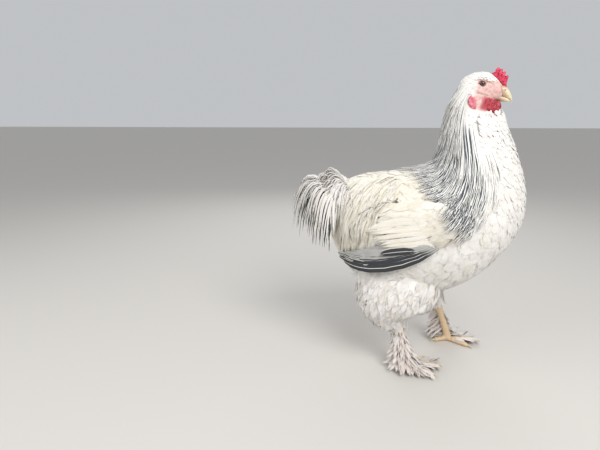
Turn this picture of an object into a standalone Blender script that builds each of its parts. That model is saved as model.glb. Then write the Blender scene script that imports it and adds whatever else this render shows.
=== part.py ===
"""A light brahma cock, life size, standing in mid stride with its head turned to its right.

Metres, +Z up, +X towards the breast, +Y to the bird's left. The trunk is one loft from rump to
nape, parted by thin cuts into rump, torso and neck. Long feathers are thin blades joined to the
node they grow from. Every node keeps a small gap to its neighbours.
"""

import math
import random

import bmesh
import bpy
from mathutils import Matrix, Vector
from mathutils.bvhtree import BVHTree

# Driving dimensions, in metres
GAP = 0.0003
CARVE = 0.0004
TRUNK_SIDES = 20
BLADE = 0.0013
SOFT_BLADE = 0.0012
SINK = 0.003
FLAT = math.radians(0.3)

# The trunk's rings from tail end to crown: dorsal x, z, ventral x, z, and half width
TRUNK = (
    (-0.232, 0.392, -0.214, 0.300, 0.034),
    (-0.202, 0.426, -0.178, 0.232, 0.078),
    (-0.150, 0.450, -0.124, 0.180, 0.112),
    (-0.085, 0.457, -0.055, 0.166, 0.130),
    (-0.030, 0.465, 0.030, 0.180, 0.136),
    (-0.006, 0.473, 0.098, 0.216, 0.133),
    (0.004, 0.484, 0.156, 0.276, 0.122),
    (0.010, 0.501, 0.192, 0.340, 0.106),
    (0.014, 0.525, 0.198, 0.402, 0.088),
    (0.017, 0.553, 0.186, 0.458, 0.071),
    (0.022, 0.583, 0.168, 0.508, 0.057),
    (0.031, 0.612, 0.153, 0.544, 0.043),
    (0.045, 0.638, 0.145, 0.572, 0.031),
    (0.060, 0.656, 0.130, 0.596, 0.025),
    (0.072, 0.656, 0.112, 0.616, 0.015),
)

# How deep the trunk lies below the coat's outside, under the hackle and under the saddle
INSET = 0.010
SADDLE_INSET = 0.007

# Cuts that part the trunk: a point on the plane and the side that the head lies on
RUMP_CUT = (Vector((-0.098, 0, 0.30)), Vector((1, 0, 0)))
NECK_CUT = (Vector((0.020, 0, 0.505)), Vector((0.392, 0, 0.920)))
HEAD_CUT = (Vector((0.090, 0, 0.6085)), Vector((0.530, 0, 0.848)))
NECK_RING = 8.6

# The head's own frame: midway between the eyes, turned to the right and beak a little down
HEAD_PLACE = Vector((0.0975, 0, 0.6415))
HEAD_TURN = math.radians(-14)
HEAD_DIP = math.radians(13)
HEAD_SCALE = 1.08
EYE_AHEAD = -0.0050
EYE_OUT = 0.0196
EYE_RADIUS = 0.0054

# Stance: where each foot's pad stands, where its hock is, and how far the foot turns out
NEAR_FOOT = Vector((-0.034, -0.064, 0))
NEAR_HOCK = Vector((-0.058, -0.068, 0.108))
FAR_FOOT = Vector((0.072, 0.098, 0))
FAR_HOCK = Vector((0.036, 0.088, 0.118))

# Outlines of the blades: share of the length, and share of the full width there
SHORT = ((0.0, 0.45), (0.35, 0.95), (0.70, 0.88), (1.0, 0.0))
POINTED = ((0.0, 0.40), (0.26, 0.88), (0.52, 1.0), (0.80, 0.66), (1.0, 0.0))
LONG = ((0.0, 0.40), (0.18, 0.78), (0.38, 0.98), (0.60, 0.95), (0.82, 0.64), (1.0, 0.0))
BLUNT = ((0.0, 0.35), (0.25, 0.80), (0.55, 1.0), (0.82, 0.95), (0.95, 0.60), (1.0, 0.0))

COLOURS = {
    "white_plumage": ((0.86, 0.85, 0.80), 0.75),
    "striped_hackle": ((0.62, 0.63, 0.62), 0.65),
    "cream_plumage": ((0.84, 0.82, 0.72), 0.75),
    "wing_plumage": ((0.80, 0.78, 0.70), 0.70),
    "tail_plumage": ((0.30, 0.31, 0.30), 0.60),
    "foot_plumage": ((0.84, 0.79, 0.76), 0.75),
    "face_skin": ((0.82, 0.58, 0.56), 0.50),
    "red_skin": ((0.70, 0.16, 0.19), 0.45),
    "eye": ((0.24, 0.08, 0.03), 0.10),
    "horn_beak": ((0.78, 0.68, 0.46), 0.35),
    "claw_horn": ((0.72, 0.62, 0.44), 0.35),
}

# What each node wears, by the first word of its name
WEARS = {
    "torso": "white_plumage", "thigh": "white_plumage", "neck": "striped_hackle",
    "rump": "cream_plumage", "wing": "wing_plumage", "tail": "tail_plumage",
    "foot": "foot_plumage", "head": "face_skin", "comb": "red_skin", "wattle": "red_skin",
    "earlobe": "red_skin", "eye": "eye", "beak": "horn_beak", "claw": "claw_horn",
}


def clear_scene():
    for item in list(bpy.data.objects):
        bpy.data.objects.remove(item)


def material(name):
    found = bpy.data.materials.get(name)
    if found:
        return found
    colour, roughness = COLOURS[name]
    made = bpy.data.materials.new(name)
    made.use_nodes = True
    shader = made.node_tree.nodes["Principled BSDF"]
    shader.inputs["Base Color"].default_value = (*colour, 1)
    shader.inputs["Roughness"].default_value = roughness
    shader.inputs["Metallic"].default_value = 0.0
    return made


def to_object(name, bm, collection):
    bmesh.ops.recalc_face_normals(bm, faces=bm.faces)
    mesh = bpy.data.meshes.new(name)
    bm.to_mesh(mesh)
    bm.free()
    made = bpy.data.objects.new(name, mesh)
    collection.objects.link(made)
    return made


def between(stations, t):
    """A smooth row of numbers at station t, by a Catmull-Rom curve through the stations."""
    last = len(stations) - 1
    t = min(max(t, 0.0), float(last))
    i = min(int(t), last - 1)
    f = t - i
    a = stations[max(i - 1, 0)]
    b, c = stations[i], stations[i + 1]
    d = stations[min(i + 2, last)]
    return [
        0.5 * (2 * q + (r - p) * f + (2 * p - 5 * q + 4 * r - s) * f**2
               + (3 * q - p - 3 * r + s) * f**3)
        for p, q, r, s in zip(a, b, c, d)
    ]


def steps(first, last, count):
    return [first + (last - first) * i / (count - 1) for i in range(count)]


def ring_loft(name, rings, sides, collection):
    """A closed skin over rings, each a centre with its half axes up and sideways."""
    bm = bmesh.new()
    loops = []
    for centre, up, side in rings:
        loops.append([
            bm.verts.new(centre + up * math.cos(a) + side * math.sin(a))
            for a in (2 * math.pi * k / sides for k in range(sides))
        ])
    for low, high in zip(loops, loops[1:]):
        for k in range(sides):
            bm.faces.new((low[k], low[(k + 1) % sides], high[(k + 1) % sides], high[k]))
    bm.faces.new(reversed(loops[0]))
    bm.faces.new(loops[-1])
    return to_object(name, bm, collection)


def ball(name, centre, radii, collection, segments=12, rings=8):
    bm = bmesh.new()
    bmesh.ops.create_uvsphere(bm, u_segments=segments, v_segments=rings, radius=1)
    place = Matrix.Translation(centre) @ Matrix.Diagonal((*radii, 1))
    bmesh.ops.transform(bm, matrix=place, verts=bm.verts)
    return to_object(name, bm, collection)


def replace_mesh(item, mesh):
    old = item.data
    item.modifiers.clear()
    item.data = mesh
    bpy.data.meshes.remove(old)


def apply_modifiers(item):
    bpy.context.view_layer.update()
    graph = bpy.context.evaluated_depsgraph_get()
    replace_mesh(item, bpy.data.meshes.new_from_object(item.evaluated_get(graph)))


def keep_largest(item):
    """Drops loose scraps, so that one closed surface stays."""
    bm = bmesh.new()
    bm.from_mesh(item.data)
    unseen = set(bm.verts)
    groups = []
    while unseen:
        queue = [unseen.pop()]
        group = set(queue)
        while queue:
            for edge in queue.pop().link_edges:
                for vert in edge.verts:
                    if vert in unseen:
                        unseen.discard(vert)
                        group.add(vert)
                        queue.append(vert)
        groups.append(group)
    biggest = max(groups, key=len)
    loose = [v for group in groups if group is not biggest for v in group]
    bmesh.ops.delete(bm, geom=loose, context="VERTS")
    bmesh.ops.dissolve_limit(bm, angle_limit=FLAT, verts=bm.verts, edges=bm.edges)
    bmesh.ops.triangulate(bm, faces=bm.faces)
    bm.to_mesh(item.data)
    bm.free()
    return item


def combine(item, others, operation, solver="MANIFOLD"):
    """One Boolean with a collection of closed meshes, applied, and the collection's objects removed."""
    group = bpy.data.collections.new(item.name + "_tools")
    bpy.context.scene.collection.children.link(group)
    for other in others:
        for owner in list(other.users_collection):
            owner.objects.unlink(other)
        group.objects.link(other)
    modifier = item.modifiers.new("combine", "BOOLEAN")
    modifier.operation = operation
    modifier.operand_type = "COLLECTION"
    modifier.collection = group
    modifier.solver = solver
    apply_modifiers(item)
    for other in others:
        bpy.data.objects.remove(other)
    bpy.data.collections.remove(group)
    return keep_largest(item)


def join(item, others):
    return combine(item, others, "UNION")


def carve(item, cutters):
    """Cuts item back from its neighbours. Each cutter is used up."""
    return combine(item, cutters, "DIFFERENCE")


def duplicate(item, name):
    made = bpy.data.objects.new(name, item.data.copy())
    item.users_collection[0].objects.link(made)
    return made


def grown(item, by=CARVE):
    """A copy with each point moved out along its normal, to carve a neighbour with."""
    made = duplicate(item, "room")
    normals = [v.normal.copy() for v in made.data.vertices]
    for vert, normal in zip(made.data.vertices, normals):
        vert.co += normal * by
    return made


def cut_plane(item, point, normal):
    """Keeps what lies behind the plane and closes the cut."""
    bm = bmesh.new()
    bm.from_mesh(item.data)
    geometry = bm.verts[:] + bm.edges[:] + bm.faces[:]
    cut = bmesh.ops.bisect_plane(
        bm, geom=geometry, dist=1e-6, plane_co=point, plane_no=normal, clear_outer=True
    )
    edges = [e for e in cut["geom_cut"] if isinstance(e, bmesh.types.BMEdge)]
    bmesh.ops.edgenet_fill(bm, edges=edges)
    bmesh.ops.recalc_face_normals(bm, faces=bm.faces)
    bm.to_mesh(item.data)
    bm.free()
    return item


def vane(name, place, profile, half_width, collection, thickness=BLADE, camber=0.06):
    """A feather as a thin blade, ridged outside and flat inside. place gives its point and outward
    direction from root, 0, to tip, 1. Each strip is split the same way, so that it can't cross
    itself where it curves."""
    bm = bmesh.new()
    spots = [place(share) for share, _ in profile]
    rings = []
    for i, (share, width) in enumerate(profile[:-1]):
        point, out = spots[i]
        along = (spots[i + 1][0] - spots[max(i - 1, 0)][0]).normalized()
        out = (out - along * out.dot(along)).normalized()
        across = along.cross(out)
        half = half_width * width
        drop = out * (half * camber)
        rings.append([
            bm.verts.new(point - across * half - drop),
            bm.verts.new(point + out * thickness * (1 - 0.35 * share)),
            bm.verts.new(point + across * half - drop),
        ])
    tip = bm.verts.new(spots[-1][0])
    for low, high in zip(rings, rings[1:]):
        for edge, ridge in ((0, 1), (2, 1)):
            bm.faces.new((low[edge], low[ridge], high[ridge]))
            bm.faces.new((low[edge], high[ridge], high[edge]))
        bm.faces.new((low[0], low[2], high[2]))
        bm.faces.new((low[0], high[2], high[0]))
    for k in range(3):
        bm.faces.new((rings[-1][k], rings[-1][(k + 1) % 3], tip))
    bm.faces.new(rings[0])
    return to_object(name, bm, collection)


def trunk_ring(t, grow=0.0):
    xd, zd, xv, zv, half = between(TRUNK, t)
    dorsal, ventral = Vector((xd, 0, zd)), Vector((xv, 0, zv))
    up = (dorsal - ventral) / 2
    return (dorsal + ventral) / 2, up * (1 + grow / up.length), Vector((0, half + grow, 0))


def ease(low, high, value):
    share = min(max((value - low) / (high - low), 0.0), 1.0)
    return share * share * (3 - 2 * share)


def inset_at(t, angle):
    """How deep the trunk lies under the long hackle and the saddle: none on the face of the breast,
    the crown, the ridge of the back and the belly."""
    turned = abs(math.remainder(angle, 2 * math.pi))
    over = 1 - ease(math.radians(92), math.radians(125), turned)
    saddled = ease(math.radians(6), math.radians(30), turned) * (1 - ease(1.6, 2.5, t))
    collared = ease(4.5, 7.5, t) * (1 - ease(11.3, 12.3, t))
    return (INSET * collared + SADDLE_INSET * saddled) * over


def trunk_point(t, angle, lift=0.0):
    """A point over the coat's outside and the way out of it. Angle 0 is the back, and it grows to
    the left."""
    def on_skin(t, angle):
        centre, up, side = trunk_ring(t)
        return centre + up * math.cos(angle) + side * math.sin(angle)

    here = on_skin(t, angle)
    along = on_skin(t + 0.05, angle) - on_skin(t - 0.05, angle)
    around = on_skin(t, angle + 0.02) - on_skin(t, angle - 0.02)
    out = around.cross(along).normalized()
    centre = trunk_ring(t)[0]
    if out.dot(here - centre) < 0:
        out = -out
    return here + out * lift, out


def trunk_solid(name, collection, grow=0.0):
    """The whole trunk from rump to crown as one closed skin."""
    last = len(TRUNK) - 1
    bm = bmesh.new()
    loops = []
    for t in steps(0, last, 2 * last + 1):
        loop = []
        for k in range(TRUNK_SIDES):
            angle = 2 * math.pi * k / TRUNK_SIDES
            loop.append(bm.verts.new(trunk_point(t, angle, grow - inset_at(t, angle))[0]))
        loops.append(loop)
    for low, high in zip(loops, loops[1:]):
        for k in range(TRUNK_SIDES):
            after = (k + 1) % TRUNK_SIDES
            bm.faces.new((low[k], low[after], high[after], high[k]))
    for loop, t, reach in ((loops[0], 0, -0.010 - grow), (loops[-1], last, 0.008 + grow)):
        centre = trunk_ring(t)[0]
        ahead = (trunk_ring(min(t + 0.5, last))[0] - trunk_ring(max(t - 0.5, 0))[0]).normalized()
        inner = [bm.verts.new(centre.lerp(v.co, 0.5) + ahead * reach) for v in loop]
        for k in range(TRUNK_SIDES):
            after = (k + 1) % TRUNK_SIDES
            bm.faces.new((loop[k], loop[after], inner[after], inner[k]))
        bm.faces.new(inner)
    bmesh.ops.triangulate(bm, faces=bm.faces)
    return to_object(name, bm, collection)


def parts_of_trunk(nodes):
    """Rump, torso, neck core and the back of the head, each a copy of the trunk between two cuts."""
    half_gap = GAP / 2
    made = {}
    whole = trunk_solid("trunk", nodes)
    for name, behind, ahead in (
        ("rump", None, RUMP_CUT),
        ("torso", RUMP_CUT, NECK_CUT),
        ("neck", NECK_CUT, HEAD_CUT),
        ("head", HEAD_CUT, None),
    ):
        piece = duplicate(whole, name)
        if ahead:
            cut_plane(piece, ahead[0] - ahead[1] * half_gap, ahead[1])
        if behind:
            cut_plane(piece, behind[0] + behind[1] * half_gap, -behind[1])
        made[name] = piece
    bpy.data.objects.remove(whole)
    return made


def trunk_cutter(nodes, behind=None, ahead=None):
    """The grown trunk between two planes, to carve a neighbour with."""
    half_gap = GAP / 2
    cutter = trunk_solid("trunk_cutter", nodes, CARVE)
    if ahead:
        cut_plane(cutter, ahead[0] + ahead[1] * half_gap, ahead[1])
    if behind:
        cut_plane(cutter, behind[0] - behind[1] * half_gap, -behind[1])
    return cutter


def tree_of(*items):
    """A search tree over several meshes."""
    points, faces = [], []
    for item in items:
        start = len(points)
        points += [v.co.copy() for v in item.data.vertices]
        faces += [[start + k for k in p.vertices] for p in item.data.polygons]
    return BVHTree.FromPolygons(points, faces)


def hull_of(item, nodes):
    """The convex hull of an item, for what has to fall clear over it."""
    bm = bmesh.new()
    for vert in item.data.vertices:
        bm.verts.new(vert.co)
    made = bmesh.ops.convex_hull(bm, input=bm.verts)
    spare = [v for v in made["geom_interior"] + made["geom_unused"]
             if isinstance(v, bmesh.types.BMVert)]
    bmesh.ops.delete(bm, geom=list(set(spare)), context="VERTS")
    return to_object(item.name + "_hull", bm, nodes)


def outer_y(tree, x, z, side, spread=0.0):
    """How far out to this side the tree's surface reaches at x and z, or within spread of x."""
    reach = 0.0
    for shift in (0.0,) if spread == 0 else (-spread, 0.0, spread):
        hit = tree.ray_cast(Vector((x + shift, side * 0.4, z)), Vector((0, -side, 0)))[0]
        if hit is not None:
            reach = max(reach, side * hit.y)
    return reach


# Hackle: tiers from the lowest up. Root ring, tip ring at the back, at the side and in front, and count
HACKLE_TIERS = (
    (9.30, 3.1, 4.4, 6.3, 13),
    (9.95, 4.5, 5.6, 7.0, 11),
    (10.60, 6.1, 6.9, 7.9, 10),
    (11.25, 7.7, 8.2, 8.8, 9),
    (12.05, 9.1, 9.4, 9.7, 8),
)
HACKLE_SPREAD = math.radians(104)
HACKLE_PROUD = 0.0030
HACKLE_HALF_WIDTH = 0.0096


def hackle(nodes, wings):
    """Striped neck feathers, pointed and in tiers. Each rises evenly from the core to the coat's
    outside, so that a tier lies over the one below it."""
    rng = random.Random(7)
    wing_tree = tree_of(*wings)
    made = []
    for rank, (root, back, flank, front, count) in enumerate(HACKLE_TIERS):
        for i in range(count):
            share = (i + (0.5 if rank % 2 else 0.0)) / (count - (0 if rank % 2 else 1))
            angle = HACKLE_SPREAD * (2 * share - 1)
            round_share = abs(angle) / HACKLE_SPREAD
            if round_share < 0.55:
                tip = back + (flank - back) * round_share / 0.55
            else:
                tip = flank + (front - flank) * (round_share - 0.55) / 0.45
            tip += rng.uniform(-0.15, 0.15)
            drift = rng.uniform(-0.03, 0.03)

            def place(s, root=root, tip=tip, angle=angle, drift=drift):
                t = root + (tip - root) * s
                turned = angle * (1 - 0.10 * s) + drift * s
                deep = inset_at(t, turned)
                lift = -deep - SINK + (deep + SINK + HACKLE_PROUD) * s**0.65
                if t < NECK_RING + 0.2:
                    lift = max(lift, -deep + 0.0022)
                point, out = trunk_point(t, turned, lift)
                side = 1 if point.y > 0 else -1
                cover = outer_y(wing_tree, point.x, point.z, side, 0.006)
                clear = cover + 0.0016 + 0.014 * max(0.0, s - 0.6)
                if cover and abs(point.y) < clear:
                    point.y = side * clear
                return point, out

            made.append(vane(f"hackle_{rank}_{i}", place, LONG, HACKLE_HALF_WIDTH, nodes))
    return made


def hang(tree, x, z, side, widest_z, spread):
    """Sideways reach at x and z for a feather that falls straight down past the widest place."""
    reach = outer_y(tree, x, z, side, spread)
    for level in steps(max(z, widest_z), z, 5):
        reach = max(reach, outer_y(tree, x, level, side, spread))
    return reach


# Saddle: tiers from the lowest up. Root angle from the back, the foremost root's x, tip height, and
# count on each side
SADDLE_TIERS = (
    (64, -0.150, 0.280, 4),
    (42, -0.104, 0.298, 6),
    (22, -0.104, 0.338, 6),
)
SADDLE_REAR = -0.190
SADDLE_WIDEST = 0.340
SADDLE_PROUD = 0.0100
SADDLE_HALF_WIDTH = 0.0076


def ring_at_x(x):
    """The trunk ring whose back lies at this x."""
    low, high = 0.0, 4.0
    for _ in range(30):
        middle = (low + high) / 2
        if between(TRUNK, middle)[0] < x:
            low = middle
        else:
            high = middle
    return low


def saddle(nodes, rump, neighbours):
    """Long narrow feathers that fall from the back over the flanks, the wings and the tail's root."""
    rng = random.Random(11)
    hulls = [hull_of(item, nodes) for item in neighbours]
    tree = tree_of(rump, *hulls)
    for hull in hulls:
        bpy.data.objects.remove(hull)
    made = []
    for side in (-1, 1):
        for rank, (degrees, front, tip_z, count) in enumerate(SADDLE_TIERS):
            for i in range(count):
                share = (i + 0.5 * (rank % 2)) / (count - 0.5)
                root_x = front + (SADDLE_REAR - front) * share
                angle = side * math.radians(degrees)
                ring = ring_at_x(root_x)
                start, start_out = trunk_point(ring, angle, -inset_at(ring, angle) - SINK)
                end_x = start.x - 0.026 - 0.026 * share
                end_z = tip_z + 0.020 * share + rng.uniform(-0.007, 0.007)

                def place(s, start=start, start_out=start_out, end_x=end_x, end_z=end_z, side=side):
                    if s == 0:
                        return start, start_out
                    x = start.x + (end_x - start.x) * s**1.3
                    z = start.z + (end_z - start.z) * (0.55 * s + 0.45 * s * s)
                    reach = hang(tree, x, z, side, SADDLE_WIDEST, 0.007)
                    y = side * max(reach + 0.0022 + SADDLE_PROUD * s**0.65, abs(start.y) + 0.004)
                    return Vector((x, y, z)), Vector((-0.15, side, 0.35)).normalized()

                made.append(vane(f"saddle_{side}_{rank}_{i}", place, POINTED,
                                 SADDLE_HALF_WIDTH, nodes, SOFT_BLADE))
    return made


# The folded wing's shell from shoulder to tip: x, z, half height and thickness over the trunk
WING = (
    (0.068, 0.364, 0.010, 0.003),
    (0.056, 0.363, 0.030, 0.009),
    (0.028, 0.360, 0.044, 0.013),
    (-0.014, 0.358, 0.050, 0.015),
    (-0.062, 0.357, 0.049, 0.014),
    (-0.108, 0.352, 0.040, 0.011),
    (-0.146, 0.342, 0.026, 0.008),
    (-0.170, 0.332, 0.010, 0.004),
)
WING_INSET = 0.010
WING_SIDES = 12


def wing_shell(side, tree, nodes):
    bm = bmesh.new()
    loops = []
    for t in steps(0, len(WING) - 1, 11):
        x, z, half, thick = between(WING, t)
        loop = []
        for k in range(WING_SIDES):
            a = 2 * math.pi * k / WING_SIDES
            level = z + half * math.sin(a)
            depth = thick * math.cos(a) if math.cos(a) > 0 else WING_INSET * math.cos(a)
            reach = outer_y(tree, x, level, side)
            loop.append(bm.verts.new((x, side * (reach + depth), level)))
        loops.append(loop)
    for low, high in zip(loops, loops[1:]):
        for k in range(WING_SIDES):
            bm.faces.new((low[k], low[(k + 1) % WING_SIDES], high[(k + 1) % WING_SIDES], high[k]))
    bm.faces.new(reversed(loops[0]))
    bm.faces.new(loops[-1])
    return to_object(f"wing_{side}", bm, nodes)


# Primaries below the folded wing: root x, z, tip x, z, sag, half width and how far out they lie
PRIMARIES = (
    (-0.022, 0.324, -0.108, 0.300, 0.000, 0.0110, 0.0040),
    (-0.014, 0.322, -0.150, 0.291, 0.006, 0.0115, 0.0062),
    (-0.006, 0.320, -0.178, 0.283, 0.012, 0.0125, 0.0084),
    (0.002, 0.319, -0.202, 0.275, 0.017, 0.0130, 0.0106),
    (0.010, 0.318, -0.194, 0.263, 0.020, 0.0115, 0.0128),
)
# Secondaries: how many, first root x and z, and how far each lies behind and above the last
SECONDARIES = 5
SECONDARY_ROOT = (-0.022, 0.322)
SECONDARY_STEP = (-0.0062, 0.0104)
SECONDARY_LENGTH = 0.108


def flight_feathers(side, tree, nodes):
    """Primaries that slip out below the wing, and secondaries that lie along its lower edge."""
    made = []
    for i, (x0, z0, x1, z1, sag, half, out_by) in enumerate(PRIMARIES):
        def place(s, x0=x0, z0=z0, x1=x1, z1=z1, sag=sag, out_by=out_by):
            x = x0 + (x1 - x0) * s
            z = z0 + (z1 - z0) * s - 4 * sag * s * (1 - s)
            reach = hang(tree, x, z, side, 0.330, 0.004)
            sunk = 0.0013 if s == 0 else 0.0
            depth = reach + out_by * min(1, 0.35 + s) - sunk
            return Vector((x, side * depth, z)), Vector((0, side, 0))

        made.append(vane(f"primary_{side}_{i}", place, BLUNT, half, nodes))
    for i in range(SECONDARIES):
        def place(s, i=i):
            x = SECONDARY_ROOT[0] + SECONDARY_STEP[0] * i - SECONDARY_LENGTH * s
            z = SECONDARY_ROOT[1] + SECONDARY_STEP[1] * i - 0.006 * s
            reach = hang(tree, x, z, side, 0.330, 0.004)
            lift = 0.0118 + 0.0011 * i
            return Vector((x, side * (reach + lift * min(1, 0.5 + s)), z)), Vector((0, side, 0.1))

        made.append(vane(f"secondary_{side}_{i}", place, BLUNT, 0.0100, nodes))
    return made


def wing(side, torso_tree, nodes):
    shell = wing_shell(side, torso_tree, nodes)
    join(shell, flight_feathers(side, torso_tree, nodes))
    carve(shell, [trunk_cutter(nodes)])
    shell.name = "wing_right" if side < 0 else "wing_left"
    return shell


# The tail's core behind the rump: dorsal x, z, ventral x, z, and half width
TAIL_CORE = (
    (-0.196, 0.424, -0.204, 0.300, 0.056),
    (-0.224, 0.432, -0.230, 0.304, 0.050),
    (-0.250, 0.426, -0.250, 0.322, 0.038),
    (-0.270, 0.402, -0.266, 0.348, 0.020),
)
# Tail feathers in sheets from the inside out: how far their roots lie forward and up, reach back at
# the middle and at the sides, rise of the arch, tip height at the middle and sides, and count
TAIL_SHEETS = (
    (0.000, 0.000, 0.090, 0.058, 0.064, 0.328, 0.276, 8),
    (0.010, 0.006, 0.080, 0.054, 0.070, 0.360, 0.312, 7),
)
TAIL_FAN = (math.radians(10), math.radians(82))
TAIL_HALF_WIDTH = 0.0088


def fan_place(start, middle, end, heading):
    """A path from start to end drawn towards middle, flat across its heading."""
    level = Vector((0, 0, 1)).cross(heading)

    def place(s):
        point = start * (1 - s)**2 + middle * (2 * s * (1 - s)) + end * s**2
        along = (middle - start) * (1 - s) + (end - middle) * s
        return point, along.cross(level).normalized()
    return place


def tail(nodes):
    """A short tail: sheets of feathers that rise from its root, arch back and fall to both sides."""
    rng = random.Random(5)
    rings = []
    for t in steps(0, 3, 7):
        xd, zd, xv, zv, half = between(TAIL_CORE, t)
        dorsal, ventral = Vector((xd, 0, zd)), Vector((xv, 0, zv))
        rings.append(((dorsal + ventral) / 2, (dorsal - ventral) / 2, Vector((0, half, 0))))
    core = ring_loft("tail", rings, 12, nodes)
    made = []
    for side in (-1, 1):
        for row, (fore, up, far, near, rise, tip_far, tip_near, count) in enumerate(TAIL_SHEETS):
            for i in range(count):
                share = (i + 0.5 + 0.5 * (row % 2)) / (count + 0.5 * (row % 2))
                fan = TAIL_FAN[0] + (TAIL_FAN[1] - TAIL_FAN[0]) * share
                heading = Vector((-math.cos(fan), side * math.sin(fan), 0))
                start = Vector((-0.238 + 0.026 * share + fore, side * (0.003 + 0.036 * share),
                                0.412 - 0.026 * share + up))
                reach = far + (near - far) * share
                end = start + heading * reach
                end.z = tip_far + (tip_near - tip_far) * share + rng.uniform(-0.005, 0.005)
                middle = start + heading * (reach * 0.86)
                middle.z = start.z + rise * (1 - 0.5 * share)
                made.append(vane(f"tail_{side}_{row}_{i}", fan_place(start, middle, end, heading),
                                 LONG, TAIL_HALF_WIDTH, nodes))
    for i in range(5):
        sway = (i - 2) / 2
        start = Vector((-0.212 - 0.006 * (i % 2), 0.034 * sway, 0.428 - 0.010 * abs(sway)))
        heading = Vector((-1, 0.7 * sway, 0)).normalized()
        end = start + heading * 0.050
        end.z += 0.030 - 0.012 * abs(sway)
        middle = start + heading * 0.020
        middle.z += 0.026
        made.append(vane(f"plume_{i}", fan_place(start, middle, end, heading), SHORT, 0.0080, nodes))
    join(core, made)
    carve(core, [trunk_cutter(nodes)])
    return core


def arc_place(start, end, bow, out):
    """A path from start to end that bows by the vector bow at its middle."""
    def place(s):
        return start.lerp(end, s) + bow * (4 * s * (1 - s)), out
    return place


def limb_rings(stations, turn=Vector((0, 1, 0))):
    """Rings about a bent limb: each station is a point with its half sizes fore-aft and sideways."""
    rings = []
    last = len(stations) - 1
    for t in steps(0, last, 2 * last + 1):
        x, y, z, fore, wide = between(stations, t)
        ahead = between(stations, min(t + 0.1, last))
        behind = between(stations, max(t - 0.1, 0))
        along = Vector([p - q for p, q in zip(ahead[:3], behind[:3])]).normalized()
        side = (turn - along * turn.dot(along)).normalized()
        rings.append((Vector((x, y, z)), side.cross(along) * fore, side * wide))
    return rings


# The fluffy drumstick in its own frame, from the belly to the hock: how far it lies ahead of the hock
# and out, its height, and its half sizes fore-aft and sideways
NEAR_THIGH = (
    (0.020, 0.84, 0.270, 0.070, 0.034),
    (0.002, 1.00, 0.230, 0.092, 0.048),
    (-0.012, 1.06, 0.192, 0.092, 0.052),
    (-0.020, 1.06, 0.158, 0.078, 0.046),
    (-0.016, 1.00, 0.130, 0.050, 0.032),
    (0.000, 1.00, 0.112, 0.017, 0.017),
)
FAR_THIGH = (
    (-0.062, 0.74, 0.272, 0.078, 0.034),
    (-0.070, 0.86, 0.236, 0.092, 0.048),
    (-0.064, 0.92, 0.200, 0.086, 0.050),
    (-0.040, 0.96, 0.166, 0.064, 0.044),
    (-0.018, 1.00, 0.138, 0.038, 0.030),
    (0.000, 1.00, 0.122, 0.017, 0.017),
)
# Loose tips round the drumstick in two rows: height, length, and count
THIGH_TIPS = ((0.186, 0.052, 8), (0.150, 0.042, 8))
THIGH_TIP_PROUD = 0.007


def thigh(side, hock, stations, nodes):
    """The fluffy drumstick, with loose tips that hang over it and over the hock."""
    placed = [(hock.x + ahead, hock.y * out, z, fore, wide) for ahead, out, z, fore, wide in stations]
    leg = ring_loft("thigh", limb_rings(placed), 14, nodes)
    tree = tree_of(leg)
    middle = placed[2]
    pieces = []
    for row, (height, length, count) in enumerate(THIGH_TIPS):
        for i in range(count):
            angle = math.radians(-165 + 330 * (i + 0.5 * row) / count)
            away = Vector((math.cos(angle), side * math.sin(angle), 0))

            def place(s, away=away, height=height, length=length):
                z = height - length * s
                centre = Vector((middle[0] * (1 - s) + placed[4][0] * s, middle[1], z))
                hit = tree.ray_cast(centre + away * 0.3, -away)[0]
                reach = (hit - centre).dot(away) if hit is not None else 0.012
                lift = -SINK + (SINK + THIGH_TIP_PROUD) * s**0.7
                return centre + away * (reach + lift), away

            pieces.append(vane(f"tip_{row}_{i}", place, SHORT, 0.0125, nodes))
    join(leg, pieces)
    cut_plane(leg, Vector((0, 0, hock.z + GAP)), Vector((0, 0, -1)))
    keep_largest(leg)
    carve(leg, [trunk_cutter(nodes)])
    leg.name = "thigh_right" if side < 0 else "thigh_left"
    return leg


# Toes: name, angle from straight ahead towards the outside, length, and feathers on it
TOES = (
    ("middle", 0, 0.072, 3),
    ("outer", 36, 0.058, 3),
    ("inner", -38, 0.058, 0),
    ("hind", -160, 0.036, 0),
)
CLAW_LENGTH = 0.015
TOE_SHAPE = ((0.0, 0.0085), (0.40, 0.0080), (0.72, 0.0068), (1.0, 0.0046))


def toe_direction(side, degrees, turn):
    angle = math.radians(turn) + side * math.radians(degrees)
    return Vector((math.cos(angle), math.sin(angle), 0))


def toe_feathers(start_pad, way, lean, length, count, rng, nodes):
    """Feathers that stand off a toe to one side, low over the ground."""
    across = Vector((-way.y, way.x, 0)) * lean
    made = []
    for i in range(count):
        start = start_pad + way * (length * (0.20 + 0.22 * i)) + Vector((0, 0, 0.008))
        aim = (way + across * (1.0 - 0.16 * i)).normalized()
        end = start + aim * (0.048 - 0.004 * i + rng.uniform(-0.004, 0.004))
        end.z = 0.0050 + 0.0022 * i
        out = Vector((0, 0, 1)) + across * 0.25
        made.append(vane("toe_feather", arc_place(start, end, Vector((0, 0, 0.008)), out),
                         SHORT, 0.0080, nodes))
    return made


SHANK_ROWS = 3


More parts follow.
